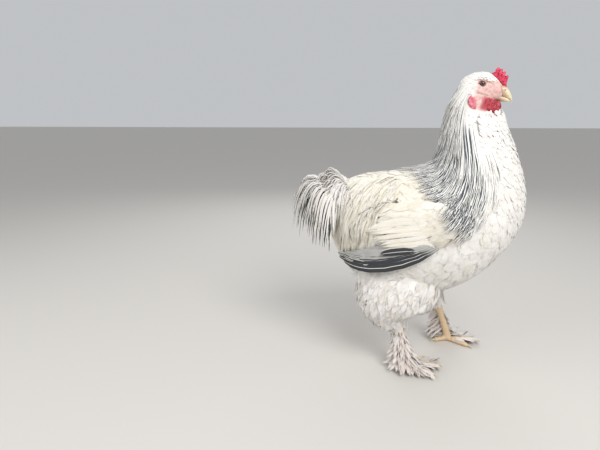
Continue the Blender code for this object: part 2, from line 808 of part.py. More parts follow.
def shank_feathers(side, pad, hock, turn, rng, nodes):
    """Feathers down the outside of the shank, shortest at the hock and splayed at the foot."""
    outside = toe_direction(side, 96, turn)
    ahead = toe_direction(side, 0, turn)
    made = []
    for row in range(SHANK_ROWS):
        height = hock.z * (0.76 - 0.23 * row)
        along = hock.lerp(pad, 1 - height / hock.z)
        for i in range(4):
            turned = math.radians(-64 + 44 * i)
            aim = (outside * math.cos(turned) + ahead * math.sin(turned)).normalized()
            start = Vector((along.x, along.y, height)) + aim * 0.005
            end = start + aim * (0.024 + 0.013 * row + rng.uniform(-0.003, 0.003))
            end.z = max(height - 0.040 + 0.004 * row, 0.0085 + 0.003 * i)
            made.append(vane("shank_feather",
                             arc_place(start, end, aim * 0.007, aim + Vector((0, 0, 0.4))),
                             SHORT, 0.0086, nodes))
    return made


def foot(side, pad, hock, turn, nodes):
    """Shank, toes and their feathers, flat underneath, and the claws as their own nodes."""
    rng = random.Random(23 + side)
    name = "right" if side < 0 else "left"
    stations = (
        (hock.x, hock.y, hock.z - GAP, 0.0130, 0.0120),
        (hock.x * 0.9 + pad.x * 0.1, hock.y, hock.z - 0.012, 0.0115, 0.0105),
        (hock.x * 0.5 + pad.x * 0.5, (hock.y + pad.y) / 2, (hock.z + 0.020) / 2, 0.0095, 0.0090),
        (pad.x - 0.003, pad.y, 0.024, 0.0108, 0.0104),
        (pad.x, pad.y, 0.006, 0.0130, 0.0130),
    )
    shank = ring_loft("shank", limb_rings(stations), 10, nodes)
    pieces = []
    claws = []
    for toe, degrees, length, count in TOES:
        way = toe_direction(side, degrees, turn)
        across = Vector((-way.y, way.x, 0))
        rings = []
        for share, radius in TOE_SHAPE:
            centre = pad + way * (length * share) + Vector((0, 0, radius * 0.86))
            rings.append((centre, Vector((0, 0, radius)), across * radius))
        pieces.append(ring_loft("toe", rings, 8, nodes))
        claws.append(claw(f"claw_{toe}_{name}", pad + way * (length + GAP), way, nodes))
        if count:
            pieces += toe_feathers(pad, way, side, length, count, rng, nodes)
            if toe == "middle":
                pieces += toe_feathers(pad, way, -side, length, count, rng, nodes)
    join(shank, pieces + shank_feathers(side, pad, hock, turn, rng, nodes))
    cut_plane(shank, Vector((0, 0, 0)), Vector((0, 0, -1)))
    cut_plane(shank, Vector((0, 0, hock.z - GAP)), Vector((0, 0, 1)))
    keep_largest(shank)
    carve(shank, [grown(item) for item in claws])
    shank.name = f"foot_{name}"
    return [shank, *claws]


def claw(name, start, way, nodes):
    """A short curved claw that grows from the toe's end and rests its tip on the floor."""
    across = Vector((-way.y, way.x, 0))
    rings = []
    for share, radius in ((0.0, 0.0036), (0.35, 0.0032), (0.7, 0.0021), (1.0, 0.0009)):
        centre = start + way * (CLAW_LENGTH * share)
        centre.z = 0.0044 + 0.0014 * math.sin(math.pi * share) - 0.0040 * share * share
        rings.append((centre, Vector((0, 0, radius)), across * radius))
    made = ring_loft(name, rings, 6, nodes)
    return cut_plane(made, Vector((0, 0, 0)), Vector((0, 0, -1)))


def head_frame():
    """From the head's own frame to the bird's."""
    return (Matrix.Translation(HEAD_PLACE) @ Matrix.Rotation(HEAD_TURN, 4, "Z")
            @ Matrix.Rotation(HEAD_DIP, 4, "Y") @ Matrix.Scale(HEAD_SCALE, 4))


# The head in its own frame, in metres: x, top, underside and half width
SKULL = (
    (-0.046, 0.002, -0.030, 0.012),
    (-0.038, 0.013, -0.040, 0.021),
    (-0.024, 0.0215, -0.047, 0.0255),
    (-0.008, 0.0255, -0.049, 0.0255),
    (0.006, 0.0245, -0.046, 0.0228),
    (0.018, 0.0185, -0.036, 0.0185),
    (0.028, 0.0105, -0.027, 0.0135),
    (0.035, 0.0055, -0.022, 0.0092),
)
UPPER_BEAK = (
    (0.026, 0.0075, -0.0125, 0.0088),
    (0.035, 0.0060, -0.0130, 0.0088),
    (0.0425, 0.0020, -0.0140, 0.0074),
    (0.0495, -0.0055, -0.0158, 0.0052),
    (0.0545, -0.0135, -0.0185, 0.0030),
    (0.0560, -0.0200, -0.0228, 0.0009),
)
LOWER_BEAK = (
    (0.026, -0.0135, -0.0235, 0.0078),
    (0.035, -0.0140, -0.0240, 0.0072),
    (0.042, -0.0150, -0.0232, 0.0057),
    (0.0485, -0.0170, -0.0222, 0.0036),
    (0.0515, -0.0190, -0.0212, 0.0013),
)


def profile_rings(stations, count, grow=0.0):
    """Upright rings along the head's own length."""
    rings = []
    for t in steps(0, len(stations) - 1, count):
        x, top, under, half = between(stations, t)
        up = Vector((0, 0, (top - under) / 2 + grow))
        rings.append((Vector((x, 0, (top + under) / 2)), up, Vector((0, half + grow, 0))))
    if grow:
        rings[0] = (rings[0][0] - Vector((grow, 0, 0)), rings[0][1], rings[0][2])
        rings[-1] = (rings[-1][0] + Vector((grow, 0, 0)), rings[-1][1], rings[-1][2])
    return rings


def skull_room(nodes, grow=CARVE):
    return ring_loft("skull_room", profile_rings(SKULL, 11, grow), 16, nodes)


def beak_rooms(nodes):
    return [
        ring_loft("upper_room", profile_rings(UPPER_BEAK, 9, CARVE), 10, nodes),
        ring_loft("lower_room", profile_rings(LOWER_BEAK, 7, CARVE), 10, nodes),
    ]


def comb(nodes):
    """A pea comb: three rows of small knobs on a low base, the middle row tallest."""
    rings = []
    for x, z, high, wide in ((0.0365, 0.008, 0.003, 0.0035), (0.0325, 0.0140, 0.009, 0.0070),
                             (0.0240, 0.0210, 0.0115, 0.0080), (0.0145, 0.0260, 0.0085, 0.0068),
                             (0.0080, 0.0270, 0.0030, 0.0030)):
        rings.append((Vector((x, 0, z)), Vector((0, 0, high)), Vector((0, wide, 0))))
    base = ring_loft("comb", rings, 10, nodes)
    knobs = []
    for row, (y, rise, size) in enumerate(((-0.0058, 0.006, 0.0034), (0.0, 0.0105, 0.0040),
                                           (0.0058, 0.006, 0.0034))):
        count = 4 if y == 0 else 3
        for i in range(count):
            share = (i + (4 - count) / 2) / 3
            x = 0.0338 - 0.022 * share
            z = 0.0145 + 0.0115 * share + rise * math.sin(math.pi * (0.25 + 0.5 * share))
            radius = size * (0.85 + 0.3 * math.sin(math.pi * share))
            knobs.append(ball(f"knob_{row}_{i}", Vector((x, y, z)), (radius, radius, radius * 1.2),
                              nodes, 6, 4))
    return join(base, knobs)


def hanging_lobe(name, stations, side, nodes):
    """A soft lobe that hangs down: each station is z, x, outward place, half length and half thickness."""
    rings = []
    for z, x, out, fore, thick in stations:
        rings.append((Vector((x, side * out, z)), Vector((fore, 0, 0)), Vector((0, thick, 0))))
    return ring_loft(name, rings, 8, nodes)


WATTLE = (
    (-0.0185, 0.0210, 0.0160, 0.0110, 0.0028),
    (-0.0270, 0.0235, 0.0205, 0.0160, 0.0036),
    (-0.0365, 0.0255, 0.0240, 0.0170, 0.0042),
    (-0.0450, 0.0260, 0.0258, 0.0125, 0.0036),
    (-0.0500, 0.0255, 0.0262, 0.0050, 0.0018),
)
EARLOBE = (
    (-0.0240, -0.0130, 0.0250, 0.0040, 0.0020),
    (-0.0320, -0.0115, 0.0264, 0.0075, 0.0036),
    (-0.0410, -0.0095, 0.0270, 0.0078, 0.0040),
    (-0.0490, -0.0075, 0.0266, 0.0036, 0.0020),
)


def torus(name, centre, major, minor, tilt, collection):
    bpy.ops.mesh.primitive_torus_add(major_segments=12, minor_segments=4, major_radius=major,
                                     minor_radius=minor)
    made = bpy.context.active_object
    made.name = name
    made.data.transform(Matrix.Translation(centre) @ tilt)
    for owner in list(made.users_collection):
        owner.objects.unlink(made)
    collection.objects.link(made)
    return made


def head(back, neck, nodes):
    """The skull with its lids joined to the crown's feathered back, then beak, comb, wattles, lobes
    and eyes. All but the back are built in the head's own frame. The neck is cut back from them."""
    skull = skull_room(nodes, 0.0)
    upper = ring_loft("beak_upper", profile_rings(UPPER_BEAK, 9), 10, nodes)
    lower = ring_loft("beak_lower", profile_rings(LOWER_BEAK, 7), 10, nodes)
    eyes, lids, sockets = [], [], []
    for side, name in ((-1, "right"), (1, "left")):
        spot = Vector((EYE_AHEAD, side * EYE_OUT, 0.0015))
        eyes.append(ball(f"eye_{name}", spot, (EYE_RADIUS,) * 3, nodes, 12, 8))
        sockets.append(ball("socket", spot, (EYE_RADIUS + CARVE,) * 3, nodes, 12, 8))
        tilt = Matrix.Rotation(math.pi / 2, 4, "X")
        rim = spot + Vector((0, side * 0.0030, 0))
        lids.append(torus(f"lid_{name}", rim, EYE_RADIUS, 0.0014, tilt, nodes))
    join(skull, lids)
    rooms = sockets + beak_rooms(nodes)
    nostrils = [ball("nostril", Vector((0.0385, s * 0.0082, -0.0030)), (0.0022, 0.0016, 0.0012),
                     nodes, 8, 6) for s in (-1, 1)]
    carve(upper, nostrils)
    trims = [comb(nodes)]
    neck_rooms = []
    for side, name in ((-1, "right"), (1, "left")):
        for kind, stations in (("wattle", WATTLE), ("earlobe", EARLOBE)):
            trims.append(hanging_lobe(f"{kind}_{name}", stations, side, nodes))
            wider = [(z + (CARVE if i == 0 else -CARVE if i == len(stations) - 1 else 0), x, out,
                      fore + CARVE, thick + CARVE)
                     for i, (z, x, out, fore, thick) in enumerate(stations)]
            neck_rooms.append(hanging_lobe("room", wider, side, nodes))
    for item in trims:
        carve(item, [skull_room(nodes), *beak_rooms(nodes)])
    for item in [skull, upper, lower, *eyes, *trims, *rooms, *neck_rooms]:
        item.data.transform(head_frame())
    back_rooms = [duplicate(room, "room") for room in rooms + neck_rooms]
    cut_plane(skull, HEAD_CUT[0] + HEAD_CUT[1] * (GAP / 2), -HEAD_CUT[1])
    join(back, [skull])
    carve(back, back_rooms)
    for room in rooms:
        bpy.data.objects.remove(room)
    carve(neck, neck_rooms)
    return [back, upper, lower, *eyes, *trims]


def finish(items):
    """Names each node's material, and stands the bird on the middle of its own box."""
    for item in items:
        item.data.materials.clear()
        item.data.materials.append(material(WEARS[item.name.split("_")[0]]))
        item.data.polygons.foreach_set("material_index", [0] * len(item.data.polygons))
        item.data.shade_smooth()
        item.data.set_sharp_from_angle(angle=math.radians(50))
    low = [min(v.co[axis] for item in items for v in item.data.vertices) for axis in range(3)]
    high = [max(v.co[axis] for item in items for v in item.data.vertices) for axis in range(3)]
    shift = Vector((-(low[0] + high[0]) / 2, -(low[1] + high[1]) / 2, -low[2]))
    for item in items:
        item.data.transform(Matrix.Translation(shift))


def main():
    clear_scene()
    nodes = bpy.data.collections.new("brahma_cock")
    bpy.context.scene.collection.children.link(nodes)
    trunk = parts_of_trunk(nodes)
    rump, torso, neck = trunk["rump"], trunk["torso"], trunk["neck"]
    body_tree = tree_of(rump, torso)
    wings = [wing(side, body_tree, nodes) for side in (-1, 1)]
    join(neck, hackle(nodes, wings))
    carve(neck, [trunk_cutter(nodes, ahead=NECK_CUT), trunk_cutter(nodes, behind=HEAD_CUT)])
    carve(neck, [grown(item) for item in wings])
    plumed_tail = tail(nodes)
    join(rump, saddle(nodes, rump, (*wings, plumed_tail)))
    carve(rump, [trunk_cutter(nodes, behind=RUMP_CUT)])
    carve(rump, [grown(item, 1.6 * CARVE) for item in wings])
    items = [rump, torso, neck, *wings, plumed_tail]
    items.append(thigh(-1, NEAR_HOCK, NEAR_THIGH, nodes))
    items.append(thigh(1, FAR_HOCK, FAR_THIGH, nodes))
    items += foot(-1, NEAR_FOOT, NEAR_HOCK, 12, nodes)
    items += foot(1, FAR_FOOT, FAR_HOCK, 6, nodes)
    items += head(trunk["head"], neck, nodes)
    finish(items)


main()
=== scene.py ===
# A light brahma cock in mid stride: skin, feathers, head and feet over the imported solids
import math

import bmesh
import bpy
import numpy as np
from mathutils import Matrix, Vector
from mathutils.bvhtree import BVHTree


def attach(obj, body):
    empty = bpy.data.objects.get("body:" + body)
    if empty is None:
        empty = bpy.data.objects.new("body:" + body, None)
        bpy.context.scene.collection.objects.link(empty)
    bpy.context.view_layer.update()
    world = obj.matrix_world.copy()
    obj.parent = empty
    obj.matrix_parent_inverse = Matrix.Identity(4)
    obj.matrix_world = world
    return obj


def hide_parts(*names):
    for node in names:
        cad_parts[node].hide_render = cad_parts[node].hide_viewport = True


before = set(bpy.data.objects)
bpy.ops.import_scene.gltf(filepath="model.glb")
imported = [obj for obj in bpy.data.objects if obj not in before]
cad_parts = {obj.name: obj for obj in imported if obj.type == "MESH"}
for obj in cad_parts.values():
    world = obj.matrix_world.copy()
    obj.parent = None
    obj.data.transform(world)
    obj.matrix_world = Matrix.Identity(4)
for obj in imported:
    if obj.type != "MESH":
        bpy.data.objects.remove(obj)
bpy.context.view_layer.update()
print("frame loaded:", len(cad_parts), "solids")

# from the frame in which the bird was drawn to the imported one
placed = np.array((0.0618, -0.0065, 0.0))


# camera, at the photo's viewing angle
cameraLook = {
    "lens": 27.0,            # mm
    "sensor": 36,            # mm wide
    "picture": (600, 450),   # pixels
    "azimuth": 12.0,         # degrees round the bird from a square side view
    "pitch": 13.0,           # degrees down
    "distance": 1.02,        # metres, and so is the height
    "height": 0.568,
    "birdAt": (420, 358),    # pixel that the spot under the bird's middle falls on
}


def makeCamera(look):
    wide, high = look["picture"]
    focal = look["lens"] / look["sensor"] * wide
    azimuth, pitch = math.radians(look["azimuth"]), math.radians(look["pitch"])
    right = Vector((math.cos(azimuth), math.sin(azimuth), 0))
    ahead = Vector((-math.sin(azimuth), math.cos(azimuth), 0))
    low = (high / 2 - look["birdAt"][1]) / focal
    aside = (look["birdAt"][0] - wide / 2) / focal * look["distance"]
    aside /= math.cos(pitch) + low * math.sin(pitch)
    view = ahead * math.cos(pitch) - Vector((0, 0, math.sin(pitch)))
    up = ahead * math.sin(pitch) + Vector((0, 0, math.cos(pitch)))
    stand = Matrix((right, up, -view)).transposed().to_4x4()
    stand.translation = (Vector(placed) - right * aside - ahead * look["distance"]
                         + Vector((0, 0, look["height"])))
    data = bpy.data.cameras.new("camera")
    data.lens = look["lens"]
    data.sensor_width = look["sensor"]
    made = bpy.data.objects.new("camera", data)
    made.matrix_world = stand
    bpy.context.scene.collection.objects.link(made)
    bpy.context.scene.camera = made


makeCamera(cameraLook)


# small helpers for materials; a term is a plain value or (node, output)
def toLinear(code):
    channels = [int(code[i:i + 2], 16) / 255 for i in (1, 3, 5)]
    return tuple(c / 12.92 if c <= 0.04045 else ((c + 0.055) / 1.055) ** 2.4
                 for c in channels) + (1.0,)


def addNode(tree, kind, settings=None, links=None):
    # settings: a property's name, or a socket's name or number; links: socket to (node, output)
    node = tree.nodes.new(kind)
    for name, value in (settings or {}).items():
        if isinstance(name, str) and hasattr(node, name):
            setattr(node, name, value)
        else:
            node.inputs[name].default_value = value
    for name, (source, output) in (links or {}).items():
        tree.links.new(source.outputs[output], node.inputs[name])
    return node


def newMaterial(name, settings):
    made = bpy.data.materials.new(name)
    made.use_nodes = True
    tree = made.node_tree
    shader = tree.nodes["Principled BSDF"]
    for socket, value in settings.items():
        shader.inputs[socket].default_value = value
    return made, tree, shader


def calculate(tree, operation, *terms):
    settings = {n: term for n, term in enumerate(terms) if not isinstance(term, tuple)}
    links = {n: term for n, term in enumerate(terms) if isinstance(term, tuple)}
    return addNode(tree, "ShaderNodeMath", {"operation": operation, **settings}, links), 0


def remap(tree, source, start, end, low=0.0, high=1.0, smooth=False):
    settings = {"interpolation_type": "SMOOTHSTEP" if smooth else "LINEAR",
                1: start, 2: end, 3: low, 4: high}
    return addNode(tree, "ShaderNodeMapRange", settings, {0: source}), 0


def blend(tree, share, first, second):
    # first and second: a hex colour or (node, output)
    settings, links = {"data_type": "RGBA"}, {0: share}
    for socket, term in ((6, first), (7, second)):
        if isinstance(term, str):
            settings[socket] = toLinear(term)
        else:
            links[socket] = term
    return addNode(tree, "ShaderNodeMix", settings, links), 2


def joinSurface(tree, shader, colour, height, strength, depth):
    bump = addNode(tree, "ShaderNodeBump", {"Strength": strength, "Distance": depth},
                   {"Height": height})
    tree.links.new(colour[0].outputs[colour[1]], shader.inputs["Base Color"])
    tree.links.new(bump.outputs[0], shader.inputs["Normal"])


# feather keratin: matt and soft, fine barbs slant off a smooth shaft, so light catches in streaks;
# these streaks of light and shade, and the shade between barbs, are painted into the colour
def featherMaterial(name, look):
    made, tree, shader = newMaterial(name, {
        "Roughness": look.get("roughness", 0.62), "IOR": 1.54,
        "Specular IOR Level": look.get("gloss", 0.25),
        "Sheen Weight": look.get("sheen", 0.18), "Sheen Roughness": 0.45,
    })
    uv = addNode(tree, "ShaderNodeUVMap", {"uv_map": "vane"})
    vane = addNode(tree, "ShaderNodeSeparateXYZ", links={0: (uv, "UV")})
    tone = addNode(tree, "ShaderNodeAttribute", {"attribute_name": "tone"})
    parts = addNode(tree, "ShaderNodeSeparateColor", links={0: (tone, "Color")})
    along, shade, dark, warmth = (vane, "Y"), (parts, "Red"), (parts, "Green"), (parts, "Blue")
    fromShaft = calculate(tree, "SUBTRACT", (vane, "X"), 0.5)
    across = calculate(tree, "ABSOLUTE", fromShaft)
    # barbs: real ones lie 0.4 mm apart, drawn about 1.2 mm apart so that they show, as bumps and as
    # painted shade between them
    slant = calculate(tree, "MULTIPLY_ADD", across, -look.get("slant", 0.5), along)
    place = addNode(tree, "ShaderNodeCombineXYZ", links={"Y": slant})
    barbs = addNode(tree, "ShaderNodeTexWave", {
        "bands_direction": "Y", "Scale": look.get("barbs", 9.0), "Distortion": 1.6,
        "Detail": 2.0, "Detail Scale": 2.0}, {"Vector": (place, 0)})
    # streaks that run out along the barbs, wider than one barb, as in a slightly parted vane; they
    # paint shade and a faint highlight into the pale colour and a paler sheen into the dark stripe
    streakPlace = addNode(tree, "ShaderNodeCombineXYZ",
                          links={"X": shade, "Y": slant, "Z": fromShaft})
    streaks = addNode(tree, "ShaderNodeTexNoise", {"Scale": 11.0, "Detail": 3.0, "Roughness": 0.6},
                      {"Vector": (streakPlace, 0)})
    # patches of soil about 40 mm across
    coords = addNode(tree, "ShaderNodeTexCoord")
    blotch = addNode(tree, "ShaderNodeTexNoise", {"Scale": 26.0, "Detail": 3.0},
                     {"Vector": (coords, "Object")})
    # pale colour: white to cream by the feather's own warmth
    pale = blend(tree, warmth, look["white"], look["cream"])
    soil = remap(tree, (blotch, 0), 0.42, 0.78, 0.0, look.get("soil", 0.25))
    soiled = blend(tree, soil, pale, look["soiled"])
    # painted shade: the pale colour is darkened in streaks and between barbs, with a faint painted
    # highlight, and each feather's own tone varies at random
    paintedStreakShade = remap(tree, (streaks, 0), 0.3, 0.7, look.get("streakLow", 0.90), 1.03)
    paintedBarbShade = remap(tree, (barbs, 0), 0.0, 1.0, 0.95, 1.0)
    ownShade = remap(tree, shade, 0.0, 1.0, 0.93, 1.03)
    light = calculate(tree, "MULTIPLY", paintedStreakShade, paintedBarbShade)
    light = calculate(tree, "MULTIPLY", light, ownShade)
    lit = addNode(tree, "ShaderNodeVectorMath", {"operation": "SCALE"},
                  {0: soiled, "Scale": light})
    # dark pattern: a stripe down the middle that leaves a white edge and closes before the tip
    waver = calculate(tree, "MULTIPLY_ADD", (streaks, 0), 0.16, -0.08)
    acrossRough = calculate(tree, "ADD", across, waver)
    taper = remap(tree, along, look.get("closeFrom", 0.62), 1.0, 1.0, look.get("closeTo", 0.35),
                  smooth=True)
    rootFade = remap(tree, along, 0.0, look.get("rootFade", 0.25), smooth=True)
    half = calculate(tree, "MULTIPLY", dark, 0.5)
    half = calculate(tree, "MULTIPLY", half, taper)
    inStripe = calculate(tree, "SUBTRACT", half, acrossRough)
    mask = remap(tree, inStripe, -0.035, 0.035, smooth=True)
    for other in (remap(tree, dark, 0.02, 0.12), rootFade):
        mask = calculate(tree, "MULTIPLY", mask, other)
    # painted sheen: the dark stripe is paler along the streaks, as if light caught its barbs
    darkWithPaintedSheen = blend(tree, (streaks, 0), look["dark"], look["darkSheen"])
    coloured = blend(tree, mask, (lit, 0), darkWithPaintedSheen)
    # shaft: a thin line, a touch paler than the vane
    shaft = remap(tree, across, 0.02, 0.045, look.get("shaft", 0.35), 0.0)
    coloured = blend(tree, shaft, coloured, look["shaftTint"])
    height = calculate(tree, "MULTIPLY_ADD", (barbs, 0), 0.5, (streaks, 0))
    joinSurface(tree, shader, coloured, height, look.get("bump", 0.35), 0.0006)
    return made


# smooth rows of numbers through a table's stations
def through(table, t):
    rows = np.asarray(table, float)
    last = len(rows) - 1
    t = np.clip(np.asarray(t, float), 0, last)
    i = np.minimum(t.astype(int), last - 1)
    f = (t - i)[..., None]
    a, b = rows[np.maximum(i - 1, 0)], rows[i]
    c, d = rows[i + 1], rows[np.minimum(i + 2, last)]
    return 0.5 * (2 * b + (c - a) * f + (2 * a - 5 * b + 4 * c - d) * f**2
                  + (3 * b - a - 3 * c + d) * f**3)


def unit(rows):
    return rows / np.maximum(np.linalg.norm(rows, axis=-1, keepdims=True), 1e-9)


def ramp(low, high, value):
    share = np.clip((np.asarray(value, float) - low) / (high - low), 0, 1)
    return share * share * (3 - 2 * share)


# the body's rings from tail end to crown: back x, z, belly x, z, and half width
trunkRings = (
    (-0.232, 0.392, -0.214, 0.300, 0.034),
    (-0.202, 0.426, -0.178, 0.232, 0.078),
    (-0.150, 0.450, -0.124, 0.180, 0.112),
    (-0.085, 0.457, -0.055, 0.166, 0.130),
    (-0.030, 0.465, 0.030, 0.180, 0.136),
    (-0.006, 0.473, 0.098, 0.216, 0.133),
    (0.004, 0.484, 0.156, 0.276, 0.122),
    (0.010, 0.501, 0.192, 0.340, 0.106),
    (0.014, 0.525, 0.198, 0.402, 0.088),
    (0.017, 0.553, 0.186, 0.458, 0.071),
    (0.022, 0.583, 0.168, 0.508, 0.057),
    (0.031, 0.612, 0.153, 0.544, 0.043),
    (0.045, 0.638, 0.145, 0.572, 0.031),
    (0.060, 0.656, 0.130, 0.596, 0.025),
    (0.072, 0.656, 0.112, 0.616, 0.015),
)


# a point over the coat's outside and the way out; angle 0 is the back and grows to the bird's left
def trunkPoint(t, angle, lift=0.0):
    t, angle, lift = np.broadcast_arrays(np.asarray(t, float), angle, lift)

    def onCoat(t, angle):
        xd, zd, xv, zv, half = np.moveaxis(through(trunkRings, t), -1, 0)
        nil = np.zeros_like(xd)
        centre = np.stack(((xd + xv) / 2, nil, (zd + zv) / 2), -1)
        up = np.stack(((xd - xv) / 2, nil, (zd - zv) / 2), -1)
        side = np.stack((nil, half, nil), -1)
        return centre + up * np.cos(angle)[..., None] + side * np.sin(angle)[..., None], centre

    here, centre = onCoat(t, angle)
    along = onCoat(t + 0.05, angle)[0] - onCoat(t - 0.05, angle)[0]
    around = onCoat(t, angle + 0.02)[0] - onCoat(t, angle - 0.02)[0]
    out = unit(np.cross(around, along))
    flip = np.sign(np.sum(out * (here - centre), -1, keepdims=True))
    out = out * np.where(flip == 0, 1, flip)
    return here + out * lift[..., None] + placed, out, -unit(along)


# how deep the skin lies under the coat's outside
def coatDepth(t):
    return 0.0090 - 0.0055 * ramp(10.8, 12.8, t)


# lofted shapes: rings are (centre, up, side)
def loftRings(bm, rings, sides):
    last = None
    for n, (centre, up, side) in enumerate(rings):
        centre, up, side = Vector(centre), Vector(up), Vector(side)
        made = bmesh.ops.create_circle(bm, cap_ends=n in (0, len(rings) - 1), segments=sides,
                                       radius=1)
        turn = Matrix((up, side, up.cross(side).normalized())).transposed().to_4x4()
        turn.translation = centre
        bmesh.ops.transform(bm, matrix=turn, verts=made["verts"])
        circle = set(made["verts"])
        edges = [e for v in made["verts"] for e in v.link_edges if e.other_vert(v) in circle]
        edges = list(set(edges))
        if last:
            bmesh.ops.bridge_loops(bm, edges=last + edges)
        last = edges


def finished(name, bm, material):
    bmesh.ops.recalc_face_normals(bm, faces=bm.faces)
    mesh = bpy.data.meshes.new(name)
    bm.to_mesh(mesh)
    bm.free()
    made = bpy.data.objects.new(name, mesh)
    bpy.context.scene.collection.objects.link(made)
    mesh.materials.append(material)
    mesh.shade_smooth()
    return made


def baked(item):
    # the object's mesh with its modifiers applied
    graph = bpy.context.evaluated_depsgraph_get()
    graph.update()
    mesh = bpy.data.meshes.new_from_object(item.evaluated_get(graph), depsgraph=graph)
    old = item.data
    item.modifiers.clear()
    item.data = mesh
    bpy.data.meshes.remove(old)
    mesh.shade_smooth()
    return item


def treeOf(item):
    bm = bmesh.new()
    bm.from_mesh(item.data)
    tree = BVHTree.FromBMesh(bm)
    bm.free()
    return tree


# legs: thigh stations are ahead of the hock, out, height, half fore-aft and half sideways
legs = {
    "right": {
        "side": -1, "turn": 12, "foot": (-0.034, -0.064, 0), "hock": (-0.058, -0.068, 0.108),
        "thigh": ((0.020, 0.84, 0.270, 0.070, 0.034), (0.002, 1.00, 0.230, 0.092, 0.048),
                  (-0.012, 1.06, 0.192, 0.092, 0.052), (-0.020, 1.06, 0.158, 0.078, 0.046),
                  (-0.016, 1.00, 0.130, 0.050, 0.032), (0.000, 1.00, 0.112, 0.017, 0.017)),
    },
    "left": {
        "side": 1, "turn": 6, "foot": (0.072, 0.098, 0), "hock": (0.036, 0.088, 0.118),
        "thigh": ((-0.062, 0.74, 0.272, 0.078, 0.034), (-0.070, 0.86, 0.236, 0.092, 0.048),
                  (-0.064, 0.92, 0.200, 0.086, 0.050), (-0.040, 0.96, 0.166, 0.064, 0.044),
                  (-0.018, 1.00, 0.138, 0.038, 0.030), (0.000, 1.00, 0.122, 0.017, 0.017)),
    },
}
# toes: angle from straight ahead towards the outside, and length
toes = {"middle": (0, 0.072), "outer": (36, 0.058), "inner": (-38, 0.058), "hind": (-160, 0.036)}

# the folded wing from shoulder to tip: x, z, half height and thickness over the body
wingRows = (
    (0.068, 0.364, 0.010, 0.003), (0.056, 0.363, 0.030, 0.009), (0.028, 0.360, 0.044, 0.013),
    (-0.014, 0.358, 0.050, 0.015), (-0.062, 0.357, 0.049, 0.014), (-0.108, 0.352, 0.040, 0.011),
    (-0.146, 0.342, 0.026, 0.008), (-0.170, 0.332, 0.010, 0.004),
)

# head, in its own frame midway between the eyes: x, top, underside and half width
headFrame = (Matrix.Translation(Vector(placed) + Vector((0.0975, 0, 0.6415)))
             @ Matrix.Rotation(math.radians(-14), 4, "Z")
             @ Matrix.Rotation(math.radians(13), 4, "Y") @ Matrix.Scale(1.08, 4))
headBack = headFrame.inverted()
skullRows = (
    (-0.046, 0.002, -0.030, 0.012), (-0.038, 0.013, -0.040, 0.021),
    (-0.024, 0.0215, -0.047, 0.0250), (-0.008, 0.0255, -0.049, 0.0245),
    (0.006, 0.0245, -0.046, 0.0218), (0.018, 0.0185, -0.036, 0.0178),
    (0.028, 0.0105, -0.027, 0.0130), (0.035, 0.0055, -0.022, 0.0090),
)
upperBeakRows = (
    (0.022, 0.0070, -0.0120, 0.0084), (0.030, 0.0072, -0.0126, 0.0088),
    (0.036, 0.0056, -0.0130, 0.0086), (0.0425, 0.0020, -0.0140, 0.0072),
    (0.0495, -0.0055, -0.0158, 0.0050),
    (0.0545, -0.0135, -0.0185, 0.0028), (0.0562, -0.0200, -0.0228, 0.0007),
)
lowerBeakRows = (
    (0.020, -0.0118, -0.0236, 0.0076), (0.030, -0.0122, -0.0236, 0.0077),
    (0.036, -0.0124, -0.0234, 0.0073), (0.042, -0.0134, -0.0226, 0.0060),
    (0.0475, -0.0150, -0.0214, 0.0042),
    (0.0512, -0.0178, -0.0208, 0.0018),
)
headLook = {
    "eye": (-0.0050, 0.0190, 0.0015), "eyeRadius": 0.0056,
    "lidRadius": 0.0056, "lidThick": 0.0011,    # soft swelling of the skin
    "rimRadius": 0.0050, "rimThick": 0.0013,    # eyelid
    "feathersApart": 0.0025,
}


# sizes of the remesh in metres, and how deep the skin lies under the coat
skinLook = {
    "voxel": 0.0042, "headVoxel": 0.0012, "footVoxel": 0.0014, "smoothing": 4,
    "thighDepth": 0.009, "wingDepth": 0.004,
}


def uprightRings(rows, count, thinner=0.0):
    rings = []
    for t in np.linspace(0, len(rows) - 1, count):
        x, top, under, half = through(rows, t)
        rings.append((Vector((x, 0, (top + under) / 2)),
                      Vector((0, 0, (top - under) / 2 - thinner)),
                      Vector((0, half - thinner, 0))))
    return rings


def trunkShell(bm, tRange, count, sides, deeper=1.0):
    rings = []
    for t in np.linspace(*tRange, count):
        xd, zd, xv, zv, half = through(trunkRings, t)
        back, belly = Vector((xd, 0, zd)), Vector((xv, 0, zv))
        up = (back - belly) / 2
        deep = float(coatDepth(t)) * deeper
        rings.append(((back + belly) / 2, up * (1 - deep / up.length),
                      Vector((0, half - deep, 0))))
    loftRings(bm, rings, sides)


def limbRings(stations, count, thinner=0.0):
    rings = []
    last = len(stations) - 1
    for t in np.linspace(0, last, count):
        x, y, z, fore, wide = through(stations, t)
        along = Vector(through(stations, min(t + 0.1, last))[:3]
                       - through(stations, max(t - 0.1, 0))[:3]).normalized()
        side = Vector((0, 1, 0))
        side = (side - along * side.dot(along)).normalized()
        less = thinner * min(1, max(0, (min(fore, wide) - 0.018) / 0.012))
        rings.append((Vector((x, y, z)), side.cross(along) * (fore - less), side * (wide - less)))
    return rings


def toeWay(leg, degrees):
    angle = math.radians(leg["turn"] + leg["side"] * degrees)
    return Vector((math.cos(angle), math.sin(angle), 0))


def legStations(leg):
    hock = leg["hock"]
    return [(hock[0] + ahead, hock[1] * out, z, fore, wide)
            for ahead, out, z, fore, wide in leg["thigh"]]


def shankStations(leg):
    (hx, hy, hz), (fx, fy, _) = leg["hock"], leg["foot"]
    return [(hx, hy, hz + 0.012, 0.0125, 0.0115),
            (hx * 0.9 + fx * 0.1, hy, hz - 0.012, 0.0110, 0.0100),
            (hx * 0.5 + fx * 0.5, (hy + fy) / 2, (hz + 0.020) / 2, 0.0088, 0.0082),
            (fx - 0.003, fy, 0.024, 0.0098, 0.0094), (fx, fy, 0.0075, 0.0110, 0.0110)]


